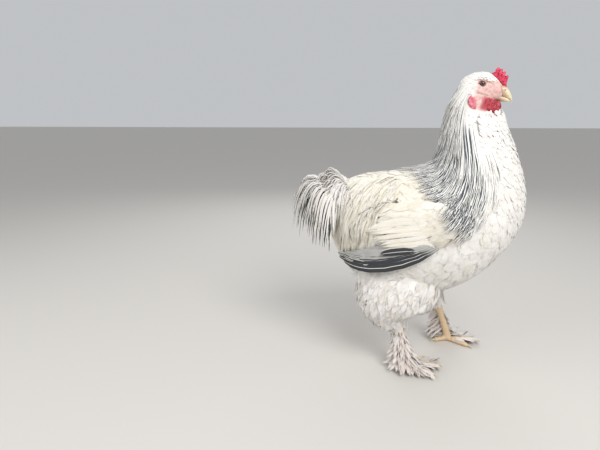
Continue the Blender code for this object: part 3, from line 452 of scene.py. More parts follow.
# a closed shell grown together from overlapping forms
def grownShell(name, bm, voxel, smoothing):
    shell = finished(name, bm, plainSkin)
    remesh = shell.modifiers.new("remesh", "REMESH")
    remesh.mode = "VOXEL"
    remesh.voxel_size = voxel
    relax = shell.modifiers.new("relax", "SMOOTH")
    relax.factor = 0.5
    relax.iterations = smoothing
    return baked(shell)


def makeTrunkShell(look):
    bm = bmesh.new()
    trunkShell(bm, (0, 12.6), 38, 32)
    tree = BVHTree.FromBMesh(bm)
    # wing pads over the body
    for side in (-1, 1):
        rings = []
        for t in np.linspace(0.25, 6.6, 14):
            x, z, half, thick = through(wingRows, t)
            hit = tree.ray_cast(Vector((x, side, z)), Vector((0, -side, 0)))[0]
            depth = max(thick + 0.010 - look["wingDepth"], 0.004)
            centre = Vector((x, hit.y + side * (depth - 0.010) * 0.5, z))
            rings.append((centre, Vector((0, 0, half - look["wingDepth"])),
                          Vector((0, (depth + 0.010) * 0.5, 0))))
        loftRings(bm, rings, 16)
    for leg in legs.values():
        loftRings(bm, limbRings(legStations(leg), 14, look["thighDepth"]), 20)
    # the tail's root
    rings = []
    for x, top, under, half in ((-0.190, 0.420, 0.300, 0.050), (-0.222, 0.426, 0.312, 0.044),
                                (-0.248, 0.420, 0.330, 0.032), (-0.266, 0.398, 0.352, 0.014)):
        rings.append((Vector((x, 0, (top + under) / 2)), Vector((0, 0, (top - under) / 2)),
                      Vector((0, half, 0))))
    loftRings(bm, rings, 16)
    bmesh.ops.translate(bm, verts=bm.verts, vec=Vector(placed))
    return grownShell("bodySkin", bm, look["voxel"], look["smoothing"])


# shank and toes: knuckles swell at each joint, scutes are laid on later
def makeFootShell(look, leg):
    bm = bmesh.new()
    loftRings(bm, limbRings(shankStations(leg), 14), 16)
    pad = Vector(leg["foot"])
    for degrees, length in toes.values():
        way = toeWay(leg, degrees)
        across = Vector((-way.y, way.x, 0))
        rings = []
        for share, radius in ((-0.06, 0.0076), (0.0, 0.0084), (0.12, 0.0076), (0.20, 0.0066),
                              (0.32, 0.0077), (0.44, 0.0062), (0.56, 0.0071), (0.68, 0.0056),
                              (0.80, 0.0063), (0.92, 0.0054), (0.99, 0.0040)):
            rings.append((pad + way * length * share + Vector((0, 0, radius * 0.90)),
                          Vector((0, 0, radius * 0.9)), across * radius))
        loftRings(bm, rings, 12)
    bmesh.ops.translate(bm, verts=bm.verts, vec=Vector(placed))
    return grownShell("footSkin", bm, look["footVoxel"], 2)


def addLids(bm, look):
    # lids: a soft ring round each eye, the upper one heavier
    x, y, z = look["eye"]
    for side in (-1, 1):
        for part in range(32):
            a = 2 * math.pi * part / 32
            size = look["lidThick"] * (1.45 if math.sin(a) > 0.1 else 1.05)
            made = bmesh.ops.create_icosphere(bm, subdivisions=1, radius=size)
            spot = Vector((x + look["lidRadius"] * 1.14 * math.cos(a), side * (y + 0.0010),
                           z + look["lidRadius"] * 0.90 * math.sin(a)))
            bmesh.ops.translate(bm, verts=made["verts"], vec=spot)


def addBeads(bm, rows):
    # a ridge or fold: a chain of overlapping balls along a line, x, y, z and radius
    for t in np.linspace(0, len(rows) - 1, len(rows) * 7):
        x, y, z, radius = through(rows, t)
        for side in (-1, 1):
            made = bmesh.ops.create_icosphere(bm, subdivisions=1, radius=radius)
            bmesh.ops.translate(bm, verts=made["verts"], vec=Vector((x, side * y, z)))


faceFolds = (
    # brow over the eye
    ((-0.014, 0.0188, 0.0080, 0.0022), (-0.006, 0.0192, 0.0108, 0.0026),
     (0.004, 0.0180, 0.0098, 0.0024), (0.013, 0.0148, 0.0060, 0.0020)),
    # cheek below the eye
    ((-0.012, 0.0215, -0.0120, 0.0034), (0.000, 0.0212, -0.0150, 0.0040),
     (0.010, 0.0182, -0.0155, 0.0034)),
    # folds from the corner of the mouth back over the jaw
    ((0.020, 0.0132, -0.0150, 0.0016), (0.012, 0.0172, -0.0172, 0.0018),
     (0.006, 0.0196, -0.0205, 0.0018), (0.001, 0.0212, -0.0270, 0.0018)),
    ((0.024, 0.0118, -0.0240, 0.0020), (0.014, 0.0160, -0.0252, 0.0024),
     (0.006, 0.0192, -0.0290, 0.0024), (0.000, 0.0208, -0.0370, 0.0024)),
)


# the head and the top of the neck, which sinks a little deeper than the trunk's own
def makeHeadShell(look, voxel):
    bm = bmesh.new()
    loftRings(bm, uprightRings(skullRows, 16, 0.0020), 28)
    addLids(bm, look)
    for fold in faceFolds:
        addBeads(bm, fold)
    bmesh.ops.transform(bm, matrix=headFrame, verts=bm.verts)
    known = set(bm.verts)
    trunkShell(bm, (11.3, 13.6), 8, 28, 1.15)
    bmesh.ops.translate(bm, verts=[v for v in bm.verts if v not in known], vec=Vector(placed))
    return grownShell("headSkin", bm, voxel, 3)


def makeSkin(look):
    skin = makeTrunkShell(look)
    others = [makeHeadShell(headLook, look["headVoxel"])]
    others += [makeFootShell(look, leg) for leg in legs.values()]
    for other in others:
        union = skin.modifiers.new("union", "BOOLEAN")
        union.operation = "UNION"
        union.solver = "MANIFOLD"
        union.object = other
    baked(skin)
    for other in others:
        bpy.data.objects.remove(other)
    return skin


plainSkin, _, _ = newMaterial("skin", {"Base Color": toLinear("#E8D8CF"), "Roughness": 0.6})
body = makeSkin(skinLook)
print("skin:", len(body.data.vertices), "points,",
      sum(len(f.vertices) - 2 for f in body.data.polygons), "triangles")
bodyTree = treeOf(body)


def toLocal(points):
    turn = np.array(headBack)
    return points @ turn[:3, :3].T + turn[:3, 3]


def bareFace(local):
    # 1 on the bare pink face, 0 under feathers; local is in the head's frame
    x, y, z = local[:, 0], np.abs(local[:, 1]), local[:, 2]
    low = ramp(0.0115, 0.0075, z - 0.12 * (x - 0.005))
    front = ramp(-0.016, -0.008, x)
    under = ramp(-0.052, -0.044, z - 0.022 * ramp(0.018, 0.030, x))
    eye = headLook["eye"]
    ring = ramp(0.0112, 0.0088, np.hypot(x - eye[0], (z - eye[2]) * 1.1))
    lore = ramp(0.016, 0.024, x) * ramp(0.0165, 0.010, z) * ramp(-0.036, -0.029, z)
    side = np.maximum(ramp(0.003, 0.009, y), ramp(0.01, 0.02, x))
    return np.clip(np.maximum(low * front * under * side, np.maximum(ring, lore)), 0, 1)


# living skin: satin, a little light passes under it, fine pores and blotches of blood
def fleshMaterial(name, look):
    made, tree, shader = newMaterial(name, {
        "Roughness": 0.45, "Specular IOR Level": 0.4, "IOR": 1.42,
        "Subsurface Weight": 0.25, "Subsurface Scale": 0.004})
    coords = addNode(tree, "ShaderNodeTexCoord")
    # blotches about 6 mm across, pores and wrinkles about 1.4 mm apart
    blotch = addNode(tree, "ShaderNodeTexNoise", {"Scale": 170.0, "Detail": 4.0},
                     {0: (coords, "Object")})
    pores = addNode(tree, "ShaderNodeTexVoronoi", {"Scale": 700.0}, {0: (coords, "Object")})
    amount = remap(tree, (blotch, 0), 0.35, 0.68)
    colour = blend(tree, amount, look["deep"], look["pale"])
    if "feathered" in look:
        area = addNode(tree, "ShaderNodeAttribute", {"attribute_name": "region"})
        parts = addNode(tree, "ShaderNodeSeparateColor", links={0: (area, "Color")})
        for channel, key in (("Green", "red"), ("Blue", "scale")):
            colour = blend(tree, (parts, channel), colour, look[key])
        bareOrScale = calculate(tree, "MAXIMUM", (parts, "Red"), (parts, "Blue"))
        colour = blend(tree, bareOrScale, look["feathered"], colour)
    joinSurface(tree, shader, colour, (pores, 0), look.get("bump", 0.5), 0.0005)
    return made


body.data.materials[0] = fleshMaterial("birdSkin", {
    "deep": "#CCA19A", "pale": "#E4C6BE", "red": "#A5353F", "scale": "#DAC1A0",
    "feathered": "#EFE8E2"})


# marks the bare face, the red throat and the scaled feet, and raises a step at each scute
def markSkin(item):
    mesh = item.data
    count = len(mesh.vertices)
    spots, outs = np.empty(count * 3), np.empty(count * 3)
    mesh.vertices.foreach_get("co", spots)
    mesh.vertices.foreach_get("normal", outs)
    spots, outs = spots.reshape(-1, 3), outs.reshape(-1, 3)
    local = toLocal(spots)
    onHead = (local[:, 2] > -0.056) & (local[:, 0] > -0.020)
    bare = np.where(onHead, bareFace(local), 0)
    red = bare * ramp(-0.016, -0.026, local[:, 2]) * ramp(0.000, 0.010, local[:, 0])
    low = spots[:, 2] < 0.112
    ridge, best = np.zeros(count), np.full(count, 0.012)
    for leg in legs.values():
        rel = spots - placed - np.array(leg["foot"])
        near = low & (np.hypot(rel[:, 0], rel[:, 1]) < 0.09)
        for degrees, length in toes.values():
            way = np.array(toeWay(leg, degrees))
            along = rel @ way
            aside = np.abs(rel[:, 0] * way[1] - rel[:, 1] * way[0])
            hit = near & (along > 0.004) & (along < length) & (spots[:, 2] < 0.02) & (aside < best)
            best = np.where(hit, aside, best)
            ridge = np.where(hit, along / 0.0042, ridge)
        ridge = np.where(near & (spots[:, 2] >= 0.02), spots[:, 2] / 0.0050, ridge)
    upper = np.clip(ramp(-0.2, 0.4, outs[:, 2]) + (spots[:, 2] > 0.02), 0, 1)
    spots += outs * (0.0007 * (1 - ridge % 1) * upper * (low & (ridge > 0)))[:, None]
    mesh.vertices.foreach_set("co", spots.ravel())
    tint = mesh.color_attributes.new("region", "FLOAT_COLOR", "POINT")
    rows = np.stack((bare, red, low * 1.0, np.ones(count)), -1)
    tint.data.foreach_set("color", rows.astype(np.float32).ravel())
    mesh.update()


markSkin(body)

# folds of the wattles and earlobes as chains: x, y, z and radius in the head's frame
wattleFolds = (
    ((0.0147, 0.0175, -0.0225, 0.0030), (0.0125, 0.0205, -0.0340, 0.0054),
     (0.0105, 0.0212, -0.0460, 0.0044)),
    ((0.0210, 0.0160, -0.0240, 0.0034), (0.0205, 0.0195, -0.0370, 0.0062),
     (0.0200, 0.0200, -0.0490, 0.0048)),
    ((0.0280, 0.0130, -0.0250, 0.0034), (0.0290, 0.0160, -0.0370, 0.0060),
     (0.0295, 0.0165, -0.0480, 0.0044)),
    ((0.0340, 0.0100, -0.0255, 0.0028), (0.0360, 0.0120, -0.0340, 0.0048),
     (0.0355, 0.0125, -0.0420, 0.0034)),
)
lobeFolds = (
    ((-0.0175, 0.0262, -0.0260, 0.0030), (-0.0165, 0.0290, -0.0340, 0.0048),
     (-0.0110, 0.0302, -0.0425, 0.0048), (-0.0010, 0.0290, -0.0490, 0.0038),
     (0.0070, 0.0262, -0.0490, 0.0032)),
    ((-0.0115, 0.0272, -0.0280, 0.0030), (-0.0085, 0.0288, -0.0350, 0.0038),
     (-0.0030, 0.0288, -0.0430, 0.0034)),
)
combBase = ((0.0365, 0, 0.0040, 0.0028), (0.0300, 0, 0.0120, 0.0050), (0.0220, 0, 0.0185, 0.0062),
            (0.0120, 0, 0.0222, 0.0058), (0.0070, 0, 0.0245, 0.0034))


# pea comb: three low rows of beads, the middle one the highest, rough with small pearls
def combChains():
    rng = np.random.default_rng(81)
    chains = [combBase]
    for y, rise, size, count in ((0, 0.0105, 0.0038, 4), (0.0058, 0.0065, 0.0033, 4)):
        for share in np.linspace(0.04, 0.96, count):
            x, z = 0.0338 - 0.022 * share, 0.0145 + 0.0115 * share
            top = z + rise * math.sin(math.pi * (0.25 + 0.5 * share))
            chains.append(((x, y * 0.7, z - 0.004, size), (x - 0.0005, y, top, size * 0.86)))
            for way in unit(rng.normal(0, 1, (7, 3)) + (0, 0, 0.6)):
                spot = np.array((x - 0.0005, y, top)) + way * size * 0.80
                chains.append(((*spot, 0.0013), (*(spot + way * 0.0004), 0.0011)))
    return chains


def makeFlesh(name, chains, voxel, smoothing, look):
    bm = bmesh.new()
    for chain in chains:
        addBeads(bm, chain)
    bmesh.ops.transform(bm, matrix=headFrame, verts=bm.verts)
    piece = grownShell(name, bm, voxel, smoothing)
    piece.data.materials[0] = fleshMaterial(name + "Skin", look)
    return piece


wattles = makeFlesh("wattles", wattleFolds, 0.0009, 16,
                    {"deep": "#8F2430", "pale": "#C4525E", "bump": 0.7})
lobes = makeFlesh("earlobes", lobeFolds, 0.0009, 10,
                  {"deep": "#C25567", "pale": "#E0959E", "bump": 0.6})
comb = makeFlesh("pebbledComb", combChains(), 0.0007, 12,
                 {"deep": "#C02C46", "pale": "#E4627C", "bump": 0.6})


# beak and claw horn: pale and smooth, streaked along its length, brownish where it leaves the skin
def hornMaterial(name, look):
    made, tree, shader = newMaterial(name, {"Roughness": 0.36, "IOR": 1.54, "Coat Weight": 0.15,
                                            "Subsurface Weight": 0.12, "Subsurface Scale": 0.003})
    coords = addNode(tree, "ShaderNodeTexCoord")
    # streaks about 2.5 mm wide and seven times as long
    lie = addNode(tree, "ShaderNodeMapping", {"Scale": (60.0, 420.0, 420.0)},
                  {0: (coords, "Object")})
    streaks = addNode(tree, "ShaderNodeTexNoise", {"Scale": 1.0, "Detail": 3.0}, {0: (lie, 0)})
    colour = blend(tree, (streaks, 0), look["deep"], look["pale"])
    if "root" in look:
        parts = addNode(tree, "ShaderNodeSeparateXYZ", links={0: (coords, "Object")})
        share = remap(tree, (parts, "X"), *look["rootEnds"])
        colour = blend(tree, share, look["root"], colour)
    joinSurface(tree, shader, colour, (streaks, 0), 0.25, 0.0003)
    return made


def makeBeak(name, rows, material):
    bm = bmesh.new()
    loftRings(bm, uprightRings(rows, 22), 24)
    bmesh.ops.transform(bm, matrix=headFrame, verts=bm.verts)
    return finished(name, bm, material)


beakHorn = hornMaterial("beakHorn", {"deep": "#CDBB92", "pale": "#EADFC2", "root": "#B39079",
                                     "rootEnds": (0.187, 0.203)})
upperBeak = makeBeak("upperBeak", upperBeakRows, beakHorn)
lowerBeak = makeBeak("lowerBeak", lowerBeakRows, beakHorn)


# nostrils: a small near-black ellipsoid on each side of the beak, its dark colour painted shade of
# the open nostril
def makeNostrils(material):
    bm = bmesh.new()
    for side in (-1, 1):
        made = bmesh.ops.create_icosphere(bm, subdivisions=3, radius=0.0013)
        bmesh.ops.scale(bm, verts=made["verts"], vec=(1.5, 0.5, 0.8))
        bmesh.ops.translate(bm, verts=made["verts"], vec=(0.0375, side * 0.0077, -0.0012))
    bmesh.ops.transform(bm, matrix=headFrame, verts=bm.verts)
    return finished("nostrils", bm, material)


nostrils = makeNostrils(fleshMaterial("nostrilHoleShade", {"deep": "#2A1A14", "pale": "#4A3026"}))


# eye: wet dark brown iris round a black pupil
def makeEyes(look):
    made, tree, shader = newMaterial("wetEye", {"Roughness": 0.08, "IOR": 1.38, "Coat Weight": 1.0,
                                                "Coat Roughness": 0.02})
    ring = addNode(tree, "ShaderNodeAttribute", {"attribute_name": "axis"})
    parts = addNode(tree, "ShaderNodeSeparateColor", links={0: (ring, "Color")})
    coords = addNode(tree, "ShaderNodeTexCoord")
    # fibres about 1 mm apart
    fibres = addNode(tree, "ShaderNodeTexNoise", {"Scale": 900.0, "Detail": 3.0},
                     {0: (coords, "Object")})
    iris = blend(tree, (fibres, 0), "#3A170B", "#7A3A1A")
    rim = remap(tree, (parts, "Red"), 0.74, 0.80)
    rimmed = blend(tree, rim, "#1C0C07", iris)
    pupil = remap(tree, (parts, "Red"), 0.90, 0.92)
    colour = blend(tree, pupil, rimmed, "#040303")
    tree.links.new(colour[0].outputs[colour[1]], shader.inputs["Base Color"])
    bm = bmesh.new()
    x, y, z = look["eye"]
    radius = look["eyeRadius"]
    axis = bm.verts.layers.float_color.new("axis")
    for side in (-1, 1):
        ball = bmesh.ops.create_uvsphere(bm, u_segments=32, v_segments=24, radius=radius)
        for vertex in ball["verts"]:
            vertex[axis] = (max(0, vertex.co.y * side / radius), 0, 0, 1)
        bmesh.ops.translate(bm, verts=ball["verts"], vec=(x, side * (y - 0.0010), z))
    bmesh.ops.transform(bm, matrix=headFrame, verts=bm.verts)
    return finished("eyes", bm, made)


eyes = makeEyes(headLook)


# a rounded ring round each eye
def makeLids(look, material):
    bm = bmesh.new()
    x, y, z = look["eye"]
    for side in (-1, 1):
        ring = bmesh.ops.create_circle(bm, segments=12, radius=look["rimThick"])
        bmesh.ops.rotate(bm, verts=ring["verts"], cent=(0, 0, 0),
                         matrix=Matrix.Rotation(math.pi / 2, 3, "X"))
        bmesh.ops.translate(bm, verts=ring["verts"], vec=(look["rimRadius"], 0, 0))
        edges = {e for v in ring["verts"] for e in v.link_edges}
        bmesh.ops.spin(bm, geom=ring["verts"] + list(edges), cent=(0, 0, 0), axis=(0, 1, 0),
                       angle=2 * math.pi, steps=40, use_merge=True)
        # the ring that is still in the middle of the head
        made = [v for v in bm.verts if abs(v.co.y) < 0.003]
        bmesh.ops.scale(bm, verts=made, vec=(1.14, 0.8, 0.92))
        bmesh.ops.translate(bm, verts=made, vec=(x, side * (y + 0.0024), z))
    bmesh.ops.remove_doubles(bm, verts=bm.verts, dist=0.00002)
    bmesh.ops.transform(bm, matrix=headFrame, verts=bm.verts)
    return finished("eyelids", bm, material)


eyelids = makeLids(headLook, fleshMaterial("lidSkin", {"deep": "#A5756B", "pale": "#CFA298"}))


def makeClaws(material):
    bm = bmesh.new()
    for leg in legs.values():
        pad = Vector(leg["foot"])
        for degrees, length in toes.values():
            way = toeWay(leg, degrees)
            across = Vector((-way.y, way.x, 0))
            rings = []
            for share in np.linspace(0, 1, 9):
                radius = 0.0036 * (1 - share) ** 0.8 + 0.0009 * share
                high = 0.0044 + 0.0014 * math.sin(math.pi * share) - 0.0040 * share**2
                rings.append((pad + way * (length - 0.003 + 0.015 * share)
                              + Vector((0, 0, max(high, radius))),
                              Vector((0, 0, radius)), across * radius * 0.8))
            loftRings(bm, rings, 12)
    bmesh.ops.translate(bm, verts=bm.verts, vec=Vector(placed))
    return finished("claws", bm, material)


claws = makeClaws(hornMaterial("clawHorn", {"deep": "#A89470", "pale": "#E3D5AE"}))

fleshTrees = [treeOf(piece) for piece in (wattles, lobes, comb, upperBeak, lowerBeak, eyes)]


def offFlesh(paths, gap=0.0022):
    # true for the feathers that stay clear of comb, wattles, lobes, beak and eyes
    clear = np.ones(len(paths), bool)
    for n, path in enumerate(paths):
        for point in path[::2]:
            if any(tree.find_nearest(point, gap)[0] is not None for tree in fleshTrees):
                clear[n] = False
                break
    return clear


# feather shapes: share of the length, and share of the full width there
outlines = {
    "contour": ((0.0, 0.30), (0.18, 0.70), (0.40, 0.96), (0.62, 1.0), (0.78, 0.90), (0.90, 0.62),
                (0.97, 0.34), (1.0, 0.10)),
    "hackle": ((0.0, 0.35), (0.18, 0.75), (0.40, 1.0), (0.62, 0.92), (0.80, 0.66), (0.92, 0.36),
               (1.0, 0.05)),
    "strand": ((0.0, 0.35), (0.20, 0.80), (0.45, 1.0), (0.70, 0.82), (0.88, 0.46), (1.0, 0.06)),
    "quill": ((0.0, 0.18), (0.08, 0.42), (0.20, 0.80), (0.36, 0.97), (0.54, 1.0), (0.70, 0.97),
              (0.82, 0.86), (0.91, 0.66), (0.97, 0.38), (1.0, 0.10)),
    "sickle": ((0.0, 0.30), (0.14, 0.70), (0.32, 0.96), (0.50, 1.0), (0.66, 0.94), (0.80, 0.76),
               (0.90, 0.52), (0.97, 0.26), (1.0, 0.06)),
    "small": ((0.0, 0.40), (0.35, 0.90), (0.68, 0.92), (0.90, 0.50), (1.0, 0.10)),
    "wisp": ((0.0, 0.60), (0.35, 1.0), (0.70, 0.70), (1.0, 0.08)),
}


# one closed vane, thin with a raised shaft, its tip split into a few locks of barbs;
# stored as share along, share across, height, faces, and which faces look up
def vaneShape(outline, sides=4, ragged=0.0, seed=0, locks=0):
    rng = np.random.default_rng(seed)
    bm = bmesh.new()
    rings = []
    widths = []
    short = 0.86 if locks else 1.0
    for n, (along, wide) in enumerate(outline):
        if 0 < n < len(outline) - 1:
            wide *= 1 + ragged * rng.uniform(-1, 0.6)
        along *= short
        widths.append((along, wide))
        lean = ragged * rng.uniform(-0.12, 0.12) if n > 2 else 0
        rings.append(((along, lean, 0), (0, 0, 1.0 - 0.55 * along), (0, wide, 0)))
    loftRings(bm, rings, sides)
    widths.append((1.0, widths[-1][1]))
    for n in range(locks):
        spot = -0.80 + 1.6 * (n + rng.uniform(0.25, 0.75)) / locks
        start = 0.52 + 0.22 * (1 - abs(spot)) + rng.uniform(-0.05, 0.05)
        end = 1.0 - 0.17 * spot * spot - rng.uniform(0, 0.09)
        turned = spot * rng.uniform(0.75, 1.05) + rng.uniform(-0.14, 0.14)
        wide = 0.85 / locks
        near = np.interp(start, *zip(*widths)) * spot
        middle = ((start + end) / 2, (near + turned * 0.72) / 2, 0.3)
        rings = [((start, near * 0.85, 0.1), (0, 0, 0.35), (0, wide, 0)),
                 (middle, (0, 0, 0.30), (0, wide * 0.9, 0)),
                 ((end, turned * 0.66, 0.2), (0, 0, 0.10), (0, wide * 0.15, 0))]
        loftRings(bm, rings, 3)
    bmesh.ops.recalc_face_normals(bm, faces=bm.faces)
    bm.verts.ensure_lookup_table()
    spots = np.array([v.co for v in bm.verts])
    faces = [[v.index for v in f.verts] for f in bm.faces]
    up = np.concatenate([np.full(len(f.verts), 1.0 if f.normal.z >= -0.02 else -1.0)
                         for f in bm.faces])
    bm.free()
    stations = np.array(widths)
    local = np.interp(spots[:, 0], stations[:, 0], stations[:, 1])
    return {
        "along": spots[:, 0], "across": spots[:, 1], "height": spots[:, 2],
        "u": np.clip(0.5 + 0.5 * spots[:, 1] / np.maximum(local, 0.25), 0, 1),
        "faces": faces, "up": up,
    }


# several versions of each shape, so that no two neighbours are alike
def vaneSet(outline, count=5, sides=4, ragged=0.0, locks=0):
    return [vaneShape(outlines[outline], sides, ragged, seed, locks) for seed in range(count)]


# joins one vane for each path into one mesh. Paths: points and normals, n feathers by k steps
def plant(name, shapes, points, normals, halfWidths, tones, material, charts, thick=0.0007,
          camber=0.25, roll=0.10, seed=1, soft=0.75):
    # soft: how far the shading follows the body under the feather, as down and barbs scatter light
    rng = np.random.default_rng(seed)
    count, steps = points.shape[:2]
    which = rng.integers(0, len(shapes), count)
    rolls = rng.normal(0, roll, count)
    spots, faceSizes, corners, vaneUv, bakeUv, toneRows, shading = [], [], [], [], [], [], []
    base = 0
    for n, shape in enumerate(shapes):
        pick = np.flatnonzero(which == n)
        if not len(pick):
            continue
        along = np.clip(shape["along"], 0, 1) * (steps - 1)
        low = np.minimum(along.astype(int), steps - 2)
        part = (along - low)[None, :, None]
        path, out = points[pick], normals[pick]
        # smooth places along each path at the vane's own stations
        p0, p1 = path[:, np.maximum(low - 1, 0)], path[:, low]
        p2, p3 = path[:, low + 1], path[:, np.minimum(low + 2, steps - 1)]
        at = 0.5 * (2 * p1 + (p2 - p0) * part + (2 * p0 - 5 * p1 + 4 * p2 - p3) * part**2
                    + (3 * p1 - p0 - 3 * p2 + p3) * part**3)
        way = unit(0.5 * ((p2 - p0) + (2 * p0 - 5 * p1 + 4 * p2 - p3) * 2 * part
                          + (3 * p1 - p0 - 3 * p2 + p3) * 3 * part**2) + 1e-9)
        face = unit(out[:, low] * (1 - part) + out[:, low + 1] * part)
        away = face
        side = unit(np.cross(face, way))
        face = np.cross(way, side)
        turn = rolls[pick][:, None, None]
        side, face = (side * np.cos(turn) + face * np.sin(turn),
                      face * np.cos(turn) - side * np.sin(turn))
        wide = halfWidths[pick][:, None, None]
        across = shape["across"][None, :, None]
        bend = -camber * across**2 * wide
        high = shape["height"][None, :, None] * thick
        rows = at + side * across * wide + face * (bend + high)
        size = len(shape["along"])
        spots.append(rows.reshape(-1, 3))
        flat = np.concatenate([np.array(f) for f in shape["faces"]])
        own = unit(face + side * np.clip(across, -1, 1) * (0.3 + camber))
        mixed = unit(away * soft + own * (1 - soft))[:, flat] * shape["up"][None, :, None]
        shading.append(mixed.reshape(-1, 3))
        sizes = np.array([len(f) for f in shape["faces"]])
        starts = base + np.arange(len(pick)) * size
        corners.append((flat[None, :] + starts[:, None]).reshape(-1))
        faceSizes.append(np.tile(sizes, len(pick)))
        uv = np.stack((shape["u"][flat], np.clip(shape["along"], 0, 1)[flat]), -1)
        vaneUv.append(np.tile(uv, (len(pick), 1)))
        patch = charts[pick][:, None, :] + (uv[None] - 0.5) * 0.003
        bakeUv.append(patch.reshape(-1, 2))
        toneRows.append(np.repeat(tones[pick], size, axis=0))
        base += len(pick) * size
    spots, corners = np.concatenate(spots), np.concatenate(corners)
    sizes = np.concatenate(faceSizes)
    mesh = bpy.data.meshes.new(name)
    mesh.vertices.add(len(spots))
    mesh.vertices.foreach_set("co", spots.astype(np.float32).ravel())
    mesh.loops.add(len(corners))
    mesh.loops.foreach_set("vertex_index", corners.astype(np.int32))
    mesh.polygons.add(len(sizes))
    starts = np.concatenate(([0], np.cumsum(sizes)[:-1]))
    mesh.polygons.foreach_set("loop_start", starts.astype(np.int32))
    mesh.update(calc_edges=True)
    mesh.validate()
    for label, rows in (("vane", vaneUv), ("OFBake", bakeUv)):
        layer = mesh.uv_layers.new(name=label)
        layer.data.foreach_set("uv", np.concatenate(rows).astype(np.float32).ravel())
    mesh.uv_layers["vane"].active = True
    tint = mesh.color_attributes.new("tone", "FLOAT_COLOR", "POINT")
    rows = np.concatenate(toneRows)
    rows = np.concatenate((rows, np.ones((len(rows), 1))), 1)
    tint.data.foreach_set("color", rows.astype(np.float32).ravel())
    mesh.shade_smooth()
    mesh.normals_split_custom_set(np.concatenate(shading).astype(np.float32))
    made = bpy.data.objects.new(name, mesh)
    bpy.context.scene.collection.objects.link(made)
    mesh.materials.append(material)
    print(name + ":", count, "feathers,", int(np.sum(sizes - 2)), "triangles")
    return made


# one row for each feather: its own shade, its dark half-share and its warmth
def toneRows(rng, count, dark, warmth, spread):
    return np.stack((rng.uniform(0, 1, count), np.broadcast_to(dark, count),
                     np.clip(rng.normal(warmth, spread, count), 0, 1)), -1)


# keeps points that stand clear of those already kept, each by its own spacing
def thinOut(points, spacing):
    cell = float(np.max(spacing))
    around = [(i, j, k) for i in (-1, 0, 1) for j in (-1, 0, 1) for k in (-1, 0, 1)]
    grid, kept = {}, []
    keys = np.floor(points / cell).astype(int)
    for n, (point, key) in enumerate(zip(points, map(tuple, keys))):
        near = spacing[n] ** 2
        gaps = (points[other] - point for i, j, k in around
                for other in grid.get((key[0] + i, key[1] + j, key[2] + k), ()))
        if not any(x * x + y * y + z * z < near for x, y, z in gaps):
            grid.setdefault(key, []).append(n)
            kept.append(n)
    return np.array(kept, int)


def nearest(points):
    # closest place on the skin and its normal
    spots, outs = np.empty_like(points), np.empty_like(points)
    for n, point in enumerate(points):
        spot, out, _, _ = bodyTree.find_nearest(point)
        spots[n], outs[n] = spot, out
    return spots, outs


# paths that run over the skin from roots along ways, rising by the lifts
def layOver(roots, ways, lengths, lifts, fall=0.0, steps=6):
    count = len(roots)
    points = np.empty((count, steps, 3))
    outs = np.empty((count, steps, 3))
    spot, out = nearest(roots)
    way = unit(ways - out * np.sum(ways * out, -1, keepdims=True))
    for k in range(steps):
        points[:, k], outs[:, k] = spot, out
        if k < steps - 1:
            ahead = way + np.array((0, 0, -1.0)) * np.asarray(fall).reshape(-1, 1)
            ahead = unit(ahead - out * np.sum(ahead * out, -1, keepdims=True))
            moved = spot + ahead * (lengths / (steps - 1))[:, None]
            spot, newOut = nearest(moved)
            out = unit(out * 0.35 + newOut * 0.65)
            way = unit(ahead - out * np.sum(ahead * out, -1, keepdims=True))
    share = np.linspace(0, 1, steps)[None, :]
    rise = lifts(share) if callable(lifts) else lifts
    points += outs * rise[..., None]
    return points, outs


# where a root lies on the unwrap of the skin: every part has its own strip
chartStrips = {"trunk": (0.02, 0.02, 0.96, 0.56), "wing": (0.02, 0.60, 0.46, 0.18),
               "thigh": (0.50, 0.60, 0.48, 0.18), "tail": (0.02, 0.80, 0.30, 0.18),
               "foot": (0.34, 0.80, 0.30, 0.18), "head": (0.66, 0.80, 0.32, 0.18)}


def chart(strip, across, along):
    x, y, wide, high = chartStrips[strip]
    return np.stack((x + wide * np.clip(across, 0, 1), y + high * np.clip(along, 0, 1)), -1)


def trunkChart(t, angle):
    return chart("trunk", (np.remainder(angle + math.pi, 2 * math.pi)) / (2 * math.pi), t / 14)


# body feathers of the breast, the belly, the flanks and the back
whitePlumage = featherMaterial("whiteContourFeather", {
    "white": "#F3F0EC", "cream": "#EFE8D6", "soiled": "#DCCBC0", "soil": 0.22, "dark": "#2B2E33",
    "darkSheen": "#55595E", "shaftTint": "#F7F3EA", "shaft": 0.25, "bump": 0.30,
})


# candidates over the trunk, evenly by area
def trunkCandidates(count, tRange, seed):
    rng = np.random.default_rng(seed)
    tGrid = np.linspace(*tRange, 160)
    aGrid = np.linspace(-math.pi, math.pi, 181)
    tMid = (tGrid[1:] + tGrid[:-1]) / 2
    aMid = (aGrid[1:] + aGrid[:-1]) / 2
    corner = trunkPoint(tGrid[:, None], aGrid[None, :])[0]
    one, two = corner[1:, :-1] - corner[:-1, :-1], corner[:-1, 1:] - corner[:-1, :-1]
    area = np.linalg.norm(np.cross(one, two), axis=-1)
    odds = (area / area.sum()).ravel()
    pick = rng.choice(len(odds), count, p=odds)
    row, column = np.divmod(pick, len(aMid))
    t = tMid[row] + rng.uniform(-0.5, 0.5, count) * (tGrid[1] - tGrid[0])
    angle = aMid[column] + rng.uniform(-0.5, 0.5, count) * (aGrid[1] - aGrid[0])
    return t, angle


def overWing(points, margin=0.0):
    # true where a point lies under the folded wing, seen from the side
    local = points - placed
    t = np.linspace(0, len(wingRows) - 1, 60)
    rows = through(wingRows, t)
    order = np.argsort(rows[:, 0])
    mid = np.interp(local[:, 0], rows[order, 0], rows[order, 1])
    half = np.interp(local[:, 0], rows[order, 0], rows[order, 2], left=-1, right=-1)
    return (np.abs(local[:, 2] - mid) < half - margin) & (np.abs(local[:, 1]) > 0.05)


